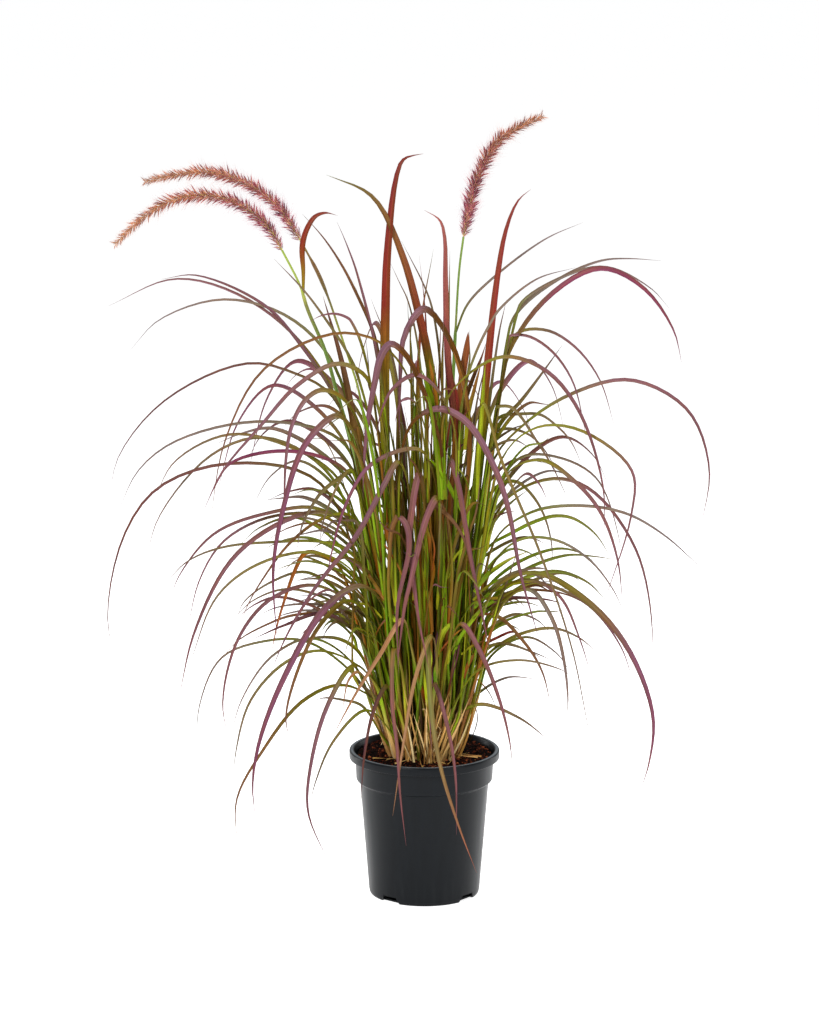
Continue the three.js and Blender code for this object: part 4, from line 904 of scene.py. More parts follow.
def extra_shoot(tuft):
    """One more shoot with its top leaf, in the part of the bundle that the drawn leaves leave thin."""
    azimuth = chance.uniform(tuft["from"], tuft["to"])
    if tuft["core"]:
        foot_radius, z = drawn_by_chance(MIDDLE_FEET, (330, 560))
        shape = drawn_by_chance((5, 30), (140, 300), (5, 40), (-90, 0))
    else:
        foot_radius, z = drawn_by_chance((INNERMOST_FOOT, OUTERMOST_FOOT), (360, 600))
        shape = drawn_by_chance((10, 60), (90, 210), (15, 70), (-40, 50))
    start = polar(fanned(foot_radius, z), azimuth, z)
    lean = chance.uniform(-LEANING_SHOOT, LEANING_SHOOT)
    return {
        "tone": chance.choice(LOW_TONES + UPRIGHT_TONES),
        "width": chance.uniform(4.5, 8),
        "turn": (chance.uniform(-60, 60), chance.uniform(-70, 70)),
        "points": arch(start, *shape, chance.choice([-1, 1]) * chance.uniform(0, 35)),
        "foot": polar(foot_radius * chance.uniform(0.85, 1.1), azimuth + lean, SHOOT_FOOT),
    }


for tuft in TUFTS:
    counts = SIDE_LEAF_CHANCES.get(tuft["name"], SIDE_LEAF_CHANCES["core" if tuft["core"] else "outer"])
    shoots = [extra_shoot(tuft) for _ in range(EXTRA_SHOOTS.get(tuft["name"], 0))]
    tuft["side"] = [side_leaf(blade, tuft) for blade in tuft["blades"] + shoots
                    for _ in range(chance.choice(counts))]
    tuft["side"] += shoots
print("more shoots and side leaves:", sum(len(tuft["side"]) for tuft in TUFTS))


# %% [markdown]
# ## From a leaf to its guide line
#
# A leaf is a strip that follows a line in space. On the shoot the strip is rolled into a tube, the
# sheath. Above the collar it opens into a channel and then lies almost flat. Each point of the guide
# line therefore stores the way across the strip, the way out of its upper face, half its width and how
# far it is rolled up, and also its colours, because they change along the leaf.

# %% Width and colours along a leaf
TIP_HALF_WIDTH = 0.12
TAPER = 2.8
OPENED_AT = 0.35
COLOUR_CHANGE = (0.15, 0.3)
DRY_FADE = 1.9
SHEATH_COLOURS = ["#70900a", "#84a414", "#98a81a", "#88860a", "#5c8008", "#4e7206", "#94580c", "#506808",
                  "#7c460a", "#8c5a0e"]
SHOOT_BASE_COLOURS = ["#cca266", "#a87c3e", "#d6b480", "#8a562c", "#b88850", "#4c2e16", "#7c6c28", "#341e0e"]
# The shoot bases of the middle tufts are darker: partly dead sheaths, partly painted shade for the dark
# inside of the bundle.
SHADED_INNER_BASE_COLOURS = ["#4a3410", "#5a4416", "#3c3a0c", "#6a5a20", "#54661a", "#2e2408"]
DRY_SHOOT = (45, 125)
MOST_DRY_PART = 0.6


def blended(stops, place):
    """The colour at a place between stops, each of them a place and a linear colour."""
    places = [stop[0] for stop in stops]
    return [float(np.interp(place, places, [stop[1][channel] for stop in stops])) for channel in range(4)]


def uneven(colour, spread=0.12):
    """A linear colour made a little lighter or darker, and a little warmer or cooler."""
    light = chance.uniform(1 - spread, 1 + spread)
    warm = chance.uniform(-spread / 2, spread / 2)
    return [colour[0] * (light + warm), colour[1] * light, colour[2] * (light - warm), 1.0]


def half_width(blade, along):
    """Half the width of a leaf part way from its collar, at 0, to its tip, at 1."""
    full = blade["width"] / 2
    collar = blade.get("collar", max(SHOOT_HALF_WIDTH, full / 2))
    opened = mix(collar, full, smoothstep(along, 0, OPENED_AT))
    return max(opened * (1 - along ** blade.get("taper", TAPER)), TIP_HALF_WIDTH)


def leaf_colours(tone, green_until, bases=None, collar_z=400, change=None):
    """The colour stops of the upper face and the underside, along a shoot (-1 to 0) and its leaf."""
    start, middle, tip, under = (uneven(linear(colour)) for colour in TONES[tone])
    sheath = uneven(linear(chance.choice(SHEATH_COLOURS)))
    base = uneven(linear(chance.choice(bases))) if bases else sheath
    dry_part = min(chance.uniform(*DRY_SHOOT) / (collar_z - SHOOT_FOOT), MOST_DRY_PART)
    green_from = min(-1 + dry_part * DRY_FADE, -0.2)
    shoot = [(-1, base), (-1 + dry_part, base), (green_from, sheath), (-0.1, sheath)]
    fresh = sheath if bases is SHADED_INNER_BASE_COLOURS else start
    middle_from = green_until + chance.uniform(*COLOUR_CHANGE)
    if change:
        green_until, middle_from = change
    above = shoot + [(0.03, fresh), (green_until, start), (middle_from, middle), (1, tip)]
    below = shoot + [(0.04, start), (0.2, under), (0.7, under), (1, tip)]
    return above, below


# %% Rings of a leaf
TUBE_ROLL = math.pi * 0.97
LEAF_ROLL = (1.0, 0.45)
TUBE_CHANGE = (-1, -0.3)
OPENING = (-0.05, 0.09)


def leaf_rings(centres, shoot_rings, blade, tube, colours):
    """The rings of one leaf along its centres, of which the first shoot_rings belong to its shoot."""
    above, below = colours
    foot, end = centres[0], centres[-1]
    across = Vector((foot.y - end.y, end.x - foot.x, 0)).normalized()
    facing = 1 if across.y > 0 else -1
    leaf_count = len(centres) - shoot_rings
    number = chance.uniform(0, 100)
    rings = []
    run = 0.0
    for i, centre in enumerate(centres):
        before = centres[max(i - 1, 0)]
        after = centres[min(i + 1, len(centres) - 1)]
        run += (centre - before).length
        tangent = (after - before).normalized()
        place = i - shoot_rings
        along = place / (leaf_count - 1) if place >= 0 else place / shoot_rings
        level = (across - tangent * across.dot(tangent)).normalized()
        face = tangent.cross(level)
        turn = math.radians(facing * mix(*blade["turn"], max(along, 0)))
        opening = smoothstep(along, *OPENING) if shoot_rings else 1
        tube_half = math.pi * mix(*tube, smoothstep(along, *TUBE_CHANGE))
        rings.append({
            "spine": centre,
            "across": level * math.cos(turn) + face * math.sin(turn),
            "face": face * math.cos(turn) - level * math.sin(turn),
            "half_width": mix(tube_half, half_width(blade, max(along, 0)), opening),
            "roll": mix(TUBE_ROLL, mix(*LEAF_ROLL, max(along, 0)), opening),
            "along": along,
            "run": run,
            "number": number,
            "upper_colour": blended(above, along),
            "under_colour": blended(below, along),
        })
    return rings


# %% From a shoot's foot to a leaf's tip
CURVE_SAMPLES = 72
LEAF_RINGS = 30
SIDE_LEAF_RINGS = 20
SHOOT_RINGS = 7
COLLAR_RINGS = 4
LEAF_PASSES = 3
COLLAR_PASSES = 2
SHOOT_BOW = 9
SIDE_TUBE = (1.3, 2.4)
TUBE_AT_FOOT = (2.2, 3)
TUBE_AT_COLLAR = (1.6, 2.2)
GREEN_IN_FRONT = (0.08, 0.26)
GREEN_IN_CORE = (0.3, 0.55)
GREEN_OUTSIDE = (0.1, 0.35)


def guide_rings(blade, tuft):
    """The rings of one leaf of a tuft: its shoot or sheath first, then the leaf from collar to tip."""
    is_side = "sheath" in blade
    shoot_room = SHOOT_HALF_WIDTH + BLADE_ROOM
    collar = keep_in_slice(blade["points"][0], shoot_room, tuft)
    foot = blade.get("sheath") or blade.get("foot") or keep_in_slice(shoot_foot(collar), shoot_room, tuft)
    line = [foot, collar, *blade["points"][1:]]
    collar_at = 1 / (len(line) - 1)
    samples = [curve_point(line, mix(collar_at, 1, i / CURVE_SAMPLES)) for i in range(CURVE_SAMPLES + 1)]
    leaf_room = BLADE_ROOM + blade["width"] / 2
    samples = [keep_in_slice(point, leaf_room, tuft) for point in samples[1:]]
    samples = smoothed([collar, *samples], LEAF_PASSES)
    leaf = well_spaced(samples, SIDE_LEAF_RINGS if is_side else LEAF_RINGS)
    bow = Vector((chance.uniform(-SHOOT_BOW, SHOOT_BOW), chance.uniform(-SHOOT_BOW, SHOOT_BOW), 0))
    bow *= 0 if is_side else 1
    shoot = [foot.lerp(collar, i / SHOOT_RINGS) + bow * math.sin(math.pi * i / SHOOT_RINGS)
             for i in range(SHOOT_RINGS)]
    centres = smoothed(shoot + leaf[:COLLAR_RINGS], COLLAR_PASSES) + leaf[COLLAR_RINGS:]
    tube = SIDE_TUBE if is_side else drawn_by_chance(TUBE_AT_FOOT, TUBE_AT_COLLAR)
    green = GREEN_IN_CORE if tuft["core"] else GREEN_OUTSIDE
    green_until = chance.uniform(*(GREEN_IN_FRONT if tuft["name"] == "middle_front_tuft" else green))
    bases = SHADED_INNER_BASE_COLOURS if tuft["core"] else SHOOT_BASE_COLOURS
    colours = leaf_colours(blade["tone"], green_until, None if is_side else bases, collar.z,
                           blade.get("change"))
    return leaf_rings(centres, SHOOT_RINGS, blade, tube, colours)


# %% Guide mesh
RING_VALUES = {
    "across": ("FLOAT_VECTOR", "vector", 1),
    "face": ("FLOAT_VECTOR", "vector", 1),
    "half_width": ("FLOAT", "value", MM),
    "roll": ("FLOAT", "value", 1),
    "along": ("FLOAT", "value", 1),
    "run": ("FLOAT", "value", MM),
    "number": ("FLOAT", "value", 1),
    "upper_colour": ("FLOAT_COLOR", "color", 1),
    "under_colour": ("FLOAT_COLOR", "color", 1),
}


def guide_mesh(name, lines):
    """A mesh of loose edges along the guide lines, with everything their rings store."""
    rings = [ring for line in lines for ring in line]
    edges = []
    start = 0
    for line in lines:
        edges += [(i, i + 1) for i in range(start, start + len(line) - 1)]
        start += len(line)
    mesh = new_mesh(name, [ring["spine"] * MM for ring in rings], edges, [])
    for key, (kind, field, unit) in RING_VALUES.items():
        if key in rings[0]:
            values = np.array([ring[key] for ring in rings], float).ravel() * unit
            mesh.attributes.new(key, kind, "POINT").data.foreach_set(field, values)
    return mesh


# %% [markdown]
# ## The leaf tree
#
# A thin closed section, a very flat ellipse with a rib under its middle, is swept along each guide
# line. The sweep only joins the rings up. Each point is then put where the rolled strip would have it:
# for a strip rolled by an angle, a point part way across lies on an arc of that angle. That gives
# tube, channel and flat leaf with one rule.

# %% Leaf tree: the sweep
SWEEP_SCALE = 0.001
leaf_tree, leaf_in = new_geometry_tree("leaf_from_guide", {
    "Section Points": "Int", "Thickness Share": "Float", "Rib Share": "Float"})
line = add(leaf_tree, "GeometryNodeMeshToCurve", [leaf_in["Geometry"]])
position = add(leaf_tree, "GeometryNodeInputPosition")
line = add(leaf_tree, "GeometryNodeStoreNamedAttribute",
           {"Geometry": line, "Name": "spine", "Value": position}, data_type="FLOAT_VECTOR")


def section_circle(tree, points):
    """A circle of radius 1 that remembers where across and on which side each of its points is."""
    circle = add(tree, "GeometryNodeCurvePrimitiveCircle", {"Resolution": points, "Radius": 1.0})
    place = add(tree, "ShaderNodeSeparateXYZ", [add(tree, "GeometryNodeInputPosition")]).node.outputs
    for name, axis in (("across_at", "X"), ("face_side", "Y")):
        circle = add(tree, "GeometryNodeStoreNamedAttribute",
                     {"Geometry": circle, "Name": name, "Value": place[axis]})
    return circle


section = section_circle(leaf_tree, leaf_in["Section Points"])
swept = add(leaf_tree, "GeometryNodeCurveToMesh",
            {"Curve": line, "Profile Curve": section, "Scale": SWEEP_SCALE, "Fill Caps": True})

# %% Leaf tree: the rolled strip
RIB_REACH = 0.1
half, roll, across_at, face_side = (
    add(leaf_tree, "GeometryNodeInputNamedAttribute", {"Name": name})
    for name in ("half_width", "roll", "across_at", "face_side"))
across, face, spine = (
    add(leaf_tree, "GeometryNodeInputNamedAttribute", {"Name": name}, data_type="FLOAT_VECTOR")
    for name in ("across", "face", "spine"))
angle = add(leaf_tree, "ShaderNodeMath", [roll, across_at], operation="MULTIPLY")
sine = add(leaf_tree, "ShaderNodeMath", [angle], operation="SINE")
cosine = add(leaf_tree, "ShaderNodeMath", [angle], operation="COSINE")
arc = add(leaf_tree, "ShaderNodeMath", [half, roll], operation="DIVIDE")
sideways = add(leaf_tree, "ShaderNodeMath", [arc, sine], operation="MULTIPLY")
drop = add(leaf_tree, "ShaderNodeMath", [1.0, cosine], operation="SUBTRACT")
upwards = add(leaf_tree, "ShaderNodeMath", [arc, drop], operation="MULTIPLY")
off_middle = add(leaf_tree, "ShaderNodeMath", [across_at], operation="ABSOLUTE")
near_rib = add(leaf_tree, "ShaderNodeMath", [off_middle, RIB_REACH], operation="LESS_THAN")
rib = add(leaf_tree, "ShaderNodeMath", [near_rib, leaf_in["Rib Share"]], operation="MULTIPLY")
thick = add(leaf_tree, "ShaderNodeMath", [face_side, leaf_in["Thickness Share"]], operation="MULTIPLY")
share = add(leaf_tree, "ShaderNodeMath", [thick, rib], operation="SUBTRACT")
proud = add(leaf_tree, "ShaderNodeMath", [share, half], operation="MULTIPLY")

# %% Leaf tree: the place of each point
face_part = add(leaf_tree, "ShaderNodeVectorMath", {0: face, "Scale": cosine}, operation="SCALE")
across_part = add(leaf_tree, "ShaderNodeVectorMath", {0: across, "Scale": sine}, operation="SCALE")
out_way = add(leaf_tree, "ShaderNodeVectorMath", [face_part, across_part], operation="SUBTRACT")
spot = spine
for way, distance in ((across, sideways), (face, upwards), (out_way, proud)):
    step = add(leaf_tree, "ShaderNodeVectorMath", {0: way, "Scale": distance}, operation="SCALE")
    spot = add(leaf_tree, "ShaderNodeVectorMath", [spot, step], operation="ADD")
shaped = add(leaf_tree, "GeometryNodeSetPosition", {"Geometry": swept, "Position": spot})
close_tree(leaf_tree, leaf_in, add(leaf_tree, "GeometryNodeSetShadeSmooth", [shaped]))
print("nodes in the leaf tree:", len(leaf_tree.nodes))


# %% [markdown]
# ## Leaf blade
#
# A grass leaf is a thin blade with fine parallel veins and a slight waxy bloom. The bloom makes the
# upper face a dusty mauve, while the underside is a plain olive brown. The edges are darker, the
# midrib is a paler line, and slow changes along the leaf keep any two from looking alike. The veins
# are under a millimetre apart, so they are drawn a little wider to show at all. One half of each
# leaf is painted a little browner than the other: painted shade for the fold of its channel.

# %% Leaf material: veins and slow changes
VEIN_SPACING = 0.9
SLOW_CHANGE = 45
leaf_blade, shade, shader = new_material("grass_leaf_blade")
across, run, half, side, along, number = (
    add(shade, "ShaderNodeAttribute", output="Fac", attribute_name=name)
    for name in ("across_at", "run", "half_width", "face_side", "along", "number"))
upper, under = (add(shade, "ShaderNodeAttribute", output="Color", attribute_name=name)
                for name in ("upper_colour", "under_colour"))
offset = add(shade, "ShaderNodeMath", [across, half], operation="MULTIPLY")
vein_at = add(shade, "ShaderNodeMath", [offset, 1 / (VEIN_SPACING * MM)], operation="MULTIPLY")
run_at = add(shade, "ShaderNodeMath", [run, 1 / (SLOW_CHANGE * MM)], operation="MULTIPLY")
vein_place = add(shade, "ShaderNodeCombineXYZ", [vein_at, run_at, number])
veins = add(shade, "ShaderNodeTexNoise",
            {"Vector": vein_place, "Scale": 1.0, "Detail": 2.0, "Roughness": 0.6})
slow_place = add(shade, "ShaderNodeMapping", {"Vector": vein_place, "Scale": (0.12, 0.8, 1.0)})
slow = add(shade, "ShaderNodeTexNoise",
           {"Vector": slow_place, "Scale": 1.0, "Detail": 3.0, "Roughness": 0.55})

# %% Leaf material: colours
underneath = add(shade, "ShaderNodeMath", [side, 0.0], operation="LESS_THAN")
body = add(shade, "ShaderNodeMix", {0: underneath, 6: upper, 7: under}, 2, **MIX)
for slow_stops, along_stops, colour in (
        ([(0.5, 0.0), (0.75, 0.4)], [(0.3, 1.0), (0.8, 0.4)], "#8a5008"),
        ([(0.28, 0.35), (0.46, 0.0)], [(0.15, 1.0), (0.5, 0.0)], "#728a08")):
    patches = add(shade, "ShaderNodeValToRGB", [slow], stops=slow_stops)
    lower_part = add(shade, "ShaderNodeValToRGB", [along], stops=along_stops)
    amount = add(shade, "ShaderNodeMath", [patches, lower_part], operation="MULTIPLY")
    body = add(shade, "ShaderNodeMix", {0: amount, 6: body, 7: linear(colour)}, 2, **MIX)
vein_light = add(shade, "ShaderNodeValToRGB", [veins], stops=[(0.3, 0.72), (0.7, 1.2)])
body = add(shade, "ShaderNodeMix", {0: 1.0, 6: body, 7: vein_light}, 2, **TIMES)
# Painted shade: the half of each leaf on one side, set by the sign of sin(number), is mixed a quarter of the
# way to dark brown.
lean = add(shade, "ShaderNodeMath", [number], operation="SINE")
leaning = add(shade, "ShaderNodeMath", [across, lean], operation="MULTIPLY")
painted_shade_half = add(shade, "ShaderNodeMath", [leaning, 0.0], operation="GREATER_THAN")
painted_shade_part = add(shade, "ShaderNodeMath", [painted_shade_half, 0.25], operation="MULTIPLY")
body = add(shade, "ShaderNodeMix", {0: painted_shade_part, 6: body, 7: linear("#5a3c0a")}, 2, **MIX)

# %% Leaf material: margin, midrib and gloss
reach = add(shade, "ShaderNodeMath", [across], operation="ABSOLUTE")
margin = add(shade, "ShaderNodeValToRGB", [reach], stops=[(0.78, 0.0), (1.0, 0.4)])
body = add(shade, "ShaderNodeMix", {0: margin, 6: body, 7: linear("#4c1a14")}, 2, **MIX)
midrib = add(shade, "ShaderNodeValToRGB", [reach], stops=[(0.0, 1.4), (0.16, 1.0)])
body = add(shade, "ShaderNodeMix", {0: 1.0, 6: body, 7: midrib}, 2, **TIMES)
fill(shade, shader, {
    "Base Color": body,
    "Roughness": add(shade, "ShaderNodeValToRGB", [veins], stops=[(0.2, 0.52), (0.8, 0.38)]),
    "Specular IOR Level": 0.1,
    "Normal": add(shade, "ShaderNodeBump", {"Height": veins, "Strength": 0.35, "Distance": 0.0003}),
})
print("nodes in the leaf material:", len(shade.nodes))


# %% Grow the tufts
SECTION_POINTS = 12
THICKNESS_SHARE = 0.06
RIB_SHARE = 0.07


def leaf_piece(name, lines):
    mesh = guide_mesh(name + "_lines", lines)
    return grown(name, mesh, leaf_tree, {
        "Section Points": SECTION_POINTS, "Thickness Share": THICKNESS_SHARE, "Rib Share": RIB_SHARE,
        "Material": leaf_blade})


for tuft in TUFTS:
    lines = [guide_rings(blade, tuft) for blade in tuft["blades"] + tuft["side"]]
    leaves = leaf_piece(tuft["name"] + "_leaves", lines)
    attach(leaves, "root")
    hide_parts(tuft["name"])
    print(leaves.name, "triangles:", sum(len(p.vertices) - 2 for p in leaves.data.polygons))


# %% Grow the near leaves
NEAR_RINGS = 16
NEAR_CROWN = 0.218
NEAR_BUNDLE = (78, 0.037)
NEAR_SIDE = 0.3
NEAR_TURN = (62, 88)
NEAR_TAPER = 5
NEAR_COLLAR = 0.42
NO_TUBE = (2, 2)


def near_line(seen):
    """The points of a near leaf, laid on the rounded front of the bundle."""
    points = []
    for across, height in zip(seen[::2], seen[1::2]):
        radius = min(NEAR_CROWN * (height - FAN_CENTRE), NEAR_BUNDLE[0] + NEAR_BUNDLE[1] * height)
        depth = math.sqrt(max(radius ** 2 - across ** 2, (NEAR_SIDE * radius) ** 2))
        points.append(seen_at(across, height, -depth))
    return points


lines = []
for foot, end, width, *seen in NEAR_LEAVES:
    first, last = (uneven(linear(SHADES[name]), 0.08) for name in (foot, end))
    stops = [(0, first), (0.35, first), (0.7, last), (1, last)]
    blade = {"width": width, "turn": (chance.uniform(*NEAR_TURN), chance.uniform(*NEAR_TURN)),
             "collar": width * NEAR_COLLAR, "taper": NEAR_TAPER}
    centres = even_curve(near_line(seen), NEAR_RINGS)
    lines.append(leaf_rings(centres, 0, blade, NO_TUBE, (stops, stops)))
near_leaves = leaf_piece("near_leaves", lines)
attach(near_leaves, "root")
print("near leaves grown:", len(lines))


# %% [markdown]
# ## Flowering stems
#
# A flowering stem is a thin smooth culm. Over part of its length a leaf sheath wraps it and makes it
# thicker, and at the top of the sheath the flag leaf leaves it. A round section is swept along each
# stem, and its radius and colour change from ring to ring. The points are pairs of distance from the
# middle and height.

# %% Stems and their sizes
CULMS = [
    {
        "azimuth": 187,
        "path": [(35.5, 190), (37, 210), (70, 420), (94, 630), (128, 755), (145, 818), (170, 877),
                 (180, 911), (206, 963)],
        "sheath": (560, 900, 3.2),
        "flag": [(176, 900), (175.5, 934), (177, 960), (175, 978), (169, 995), (158, 1011), (143, 1016),
                 (126, 1012)],
        "flag_leaf": {"tone": "burgundy", "width": 10, "turn": (80, 60)},
        "plume": [(206.1, 963.3), (225, 996), (272, 1033), (330, 1044), (388, 1025), (444, 976)],
        "colours": [(0, "#7c9430"), (0.5, "#6c8628"), (0.78, "#587224"), (0.885, "#6c6a2c"),
                    (0.89, "#a4864c"), (0.9, "#8a9438"), (1, "#829632")],
    },
    {
        "azimuth": 166,
        "path": [(34, 190), (35, 210), (62, 430), (78, 600), (97, 745), (113, 796), (128, 840),
                 (143, 883), (160, 923), (186, 969)],
        "sheath": (885, 945, 3.4),
        "plume": [(186.1, 969.3), (216, 1014), (260, 1046.5), (305, 1062.5), (345, 1064.5),
                  (384, 1057.5), (422, 1048.5)],
        "colours": [(0, "#7c9430"), (0.5, "#7e922e"), (0.8, "#8a9034"), (0.88, "#5e5020"),
                    (0.95, "#64441e"), (1, "#7a6c2e")],
    },
    {
        "azimuth": 5,
        "path": [(14.5, 190), (14.5, 210), (28, 500), (40, 742), (45, 848), (50, 932), (56, 979)],
        "sheath": (560, 840, 3.1),
        "flag": [(45, 838), (62, 880), (95, 915), (174, 974), (229, 998)],
        "flag_leaf": {"tone": "grey", "width": 5, "turn": (50, 50)},
        "plume": [(56.1, 979.3), (62, 1011), (79.5, 1075), (107.5, 1118), (136.5, 1137), (168.5, 1151)],
        "colours": [(0, "#6e8a26"), (0.6, "#587620"), (0.82, "#5c7a22"), (0.84, "#7c7838"),
                    (0.86, "#5e7a22"), (1, "#6c842c")],
    },
]
print("stems with a flag leaf:", sum("flag" in culm for culm in CULMS))

# %% Rings of a stem
CULM_RADIUS = 2.1
CULM_TOP_RADIUS = 1.6
CULM_RINGS = 60
SHEATH_START = 25
SHEATH_END = 4
SHEATH_FIT = 0.92
SHEATH_NARROWING = 0.25


def beside(azimuth, pairs):
    """Points at one azimuth, from pairs of distance from the middle and height."""
    return [polar(radius, azimuth, z) for radius, z in pairs]


def stalk_rings(centres, radii, colours):
    """The rings of a round stalk: a radius for each centre, and colour stops from 0 to 1."""
    stops = [(place, linear(colour)) for place, colour in colours]
    rings = []
    run = 0.0
    for i, (centre, radius) in enumerate(zip(centres, radii)):
        run += (centre - centres[max(i - 1, 0)]).length
        along = i / (len(centres) - 1)
        rings.append({"spine": centre, "half_width": radius, "along": along, "run": run,
                      "upper_colour": blended(stops, along)})
    return rings


def culm_rings(culm):
    """The rings of a culm, thicker where its sheath wraps it."""
    low, high, swollen = culm["sheath"]
    centres = even_curve(beside(culm["azimuth"], culm["path"]), CULM_RINGS)
    radii = []
    for i, centre in enumerate(centres):
        thin = mix(CULM_RADIUS, CULM_TOP_RADIUS, i / (CULM_RINGS - 1))
        above_start = smoothstep(centre.z, low, low + SHEATH_START)
        wrapped = above_start * (1 - smoothstep(centre.z, high - SHEATH_END, high))
        narrowed = 1 - SHEATH_NARROWING * smoothstep(centre.z, low, high)
        radii.append(mix(thin, swollen * SHEATH_FIT, wrapped * narrowed))
    return stalk_rings(centres, radii, culm["colours"])


# %% [markdown]
# The stalk tree sweeps a circle along each guide line and scales it by the stored radius. The circle
# keeps the place of its points as attributes, so that the fine lines of the stem can run along it.

# %% Stalk tree
STALK_SIDES = 12
stalk_tree, stalk_in = new_geometry_tree("stalk_from_guide", {"Sides": "Int"})
line = add(stalk_tree, "GeometryNodeMeshToCurve", [stalk_in["Geometry"]])
circle = section_circle(stalk_tree, stalk_in["Sides"])
radius = add(stalk_tree, "GeometryNodeInputNamedAttribute", {"Name": "half_width"})
swept = add(stalk_tree, "GeometryNodeCurveToMesh",
            {"Curve": line, "Profile Curve": circle, "Scale": radius, "Fill Caps": True})
close_tree(stalk_tree, stalk_in, add(stalk_tree, "GeometryNodeSetShadeSmooth", [swept]))


# %% [markdown]
# ## Green stem
#
# A culm is smooth and a little waxy, with fine lines along it, paler than its sheath. The lines are
# half a millimetre apart.

# %% Stem material
STEM_LINE = 0.5
STEM_CHANGE = 60
green_stem, shade, shader = new_material("waxy_green_stem")
parts = []
for name, factor in (("across_at", CULM_RADIUS / STEM_LINE), ("run", 1 / (STEM_CHANGE * MM)),
                     ("face_side", CULM_RADIUS / STEM_LINE)):
    value = add(shade, "ShaderNodeAttribute", output="Fac", attribute_name=name)
    parts.append(add(shade, "ShaderNodeMath", [value, factor], operation="MULTIPLY"))
place = add(shade, "ShaderNodeCombineXYZ", parts)
stem_lines = add(shade, "ShaderNodeTexNoise", {"Vector": place, "Scale": 1.0, "Detail": 3.0})
colour = add(shade, "ShaderNodeAttribute", output="Color", attribute_name="upper_colour")
lines_light = add(shade, "ShaderNodeValToRGB", [stem_lines], stops=[(0.3, 0.78), (0.7, 1.15)])
fill(shade, shader, {
    "Base Color": add(shade, "ShaderNodeMix", {0: 1.0, 6: colour, 7: lines_light}, 2, **TIMES),
    "Roughness": add(shade, "ShaderNodeValToRGB", [stem_lines], stops=[(0.2, 0.48), (0.8, 0.36)]),
    "Specular IOR Level": 0.35,
    "Normal": add(shade, "ShaderNodeBump", {"Height": stem_lines, "Strength": 0.3, "Distance": 0.0002}),
})
print("nodes in the stem's tree and material:", len(stalk_tree.nodes), len(shade.nodes))


# %% Grow the stems and their flag leaves
FLAG_GREEN = 0.02


def stalk_piece(name, lines):
    mesh = guide_mesh(name + "_lines", lines)
    return grown(name, mesh, stalk_tree, {"Sides": STALK_SIDES, "Material": green_stem})


for number, culm in enumerate(CULMS, 1):
    stem = stalk_piece(f"flower_stem_{number}_culm", [culm_rings(culm)])
    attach(stem, "root")
    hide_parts(f"flower_stem_{number}")
    if "flag" in culm:
        leaf = culm["flag_leaf"]
        centres = even_curve(beside(culm["azimuth"], culm["flag"]), LEAF_RINGS)
        rings = leaf_rings(centres, 0, leaf, NO_TUBE, leaf_colours(leaf["tone"], FLAG_GREEN))
        flag = leaf_piece(f"flag_leaf_{number}", [rings])
        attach(flag, "root")
print("flowering stems:", len(CULMS))


# %% [markdown]
# ## Plumes
#
# A plume is a thin axis with 360 small clusters round it. Each cluster is a pointed spikelet in a ring
# of fine bristles, and leans towards the plume's tip. The next cluster stands a golden angle further
# round, as seeds in a flower head do, so that no rows show. Points along the axis carry instances of
# three slightly different clusters. A real bristle is a tenth of a millimetre thick. Here it is nearly
# three times that, because a thinner one wouldn't show in the render.

# %% Spikelet and bristle
SPIKELET_LENGTH = 16
SPIKELET_HALF_WIDTH = 1.05
SPIKELET_SIDES = 5
SPIKELET_GIRTHS = [(0.0, 0.45), (0.3, 1.0), (0.7, 0.62)]
SPIKELET_FOOT = -0.6
BRISTLE_HALF_WIDTH = 0.14
BRISTLE_LENGTH = (14, 29)
BRISTLE_LEAN = (4, 30)
BRISTLES = 9


def needle(vertices, faces, foot, tip, half):
    """A long thin pyramid on three corners."""
    way = (tip - foot).normalized()
    side = way.orthogonal().normalized()
    other = way.cross(side)
    start = len(vertices)
    for corner in range(3):
        angle = corner * 2 * math.pi / 3
        vertices.append(foot + (side * math.cos(angle) + other * math.sin(angle)) * half)
    vertices.append(tip)
    faces += [(start, start + 1, start + 3), (start + 1, start + 2, start + 3),
              (start + 2, start, start + 3), (start, start + 2, start + 1)]


def spikelet_body():
    """The vertices and faces of a pointed husk along z: a foot, three rings and a tip."""
    vertices = [Vector((0, 0, SPIKELET_FOOT))]
    faces = []
    for height, girth in SPIKELET_GIRTHS:
        reach = SPIKELET_HALF_WIDTH * girth
        for side in range(SPIKELET_SIDES):
            angle = (side + height) * 2 * math.pi / SPIKELET_SIDES
            x, y = reach * math.cos(angle), reach * math.sin(angle)
            vertices.append(Vector((x, y, SPIKELET_LENGTH * height)))
    tip = len(vertices)
    vertices.append(Vector((0, 0, SPIKELET_LENGTH)))
    for side in range(SPIKELET_SIDES):
        following = (side + 1) % SPIKELET_SIDES
        faces.append((0, 1 + following, 1 + side))
        for ring in range(len(SPIKELET_GIRTHS) - 1):
            low = 1 + ring * SPIKELET_SIDES
            high = low + SPIKELET_SIDES
            faces.append((low + side, low + following, high + following, high + side))
        faces.append((tip - SPIKELET_SIDES + side, tip - SPIKELET_SIDES + following, tip))
    return vertices, faces


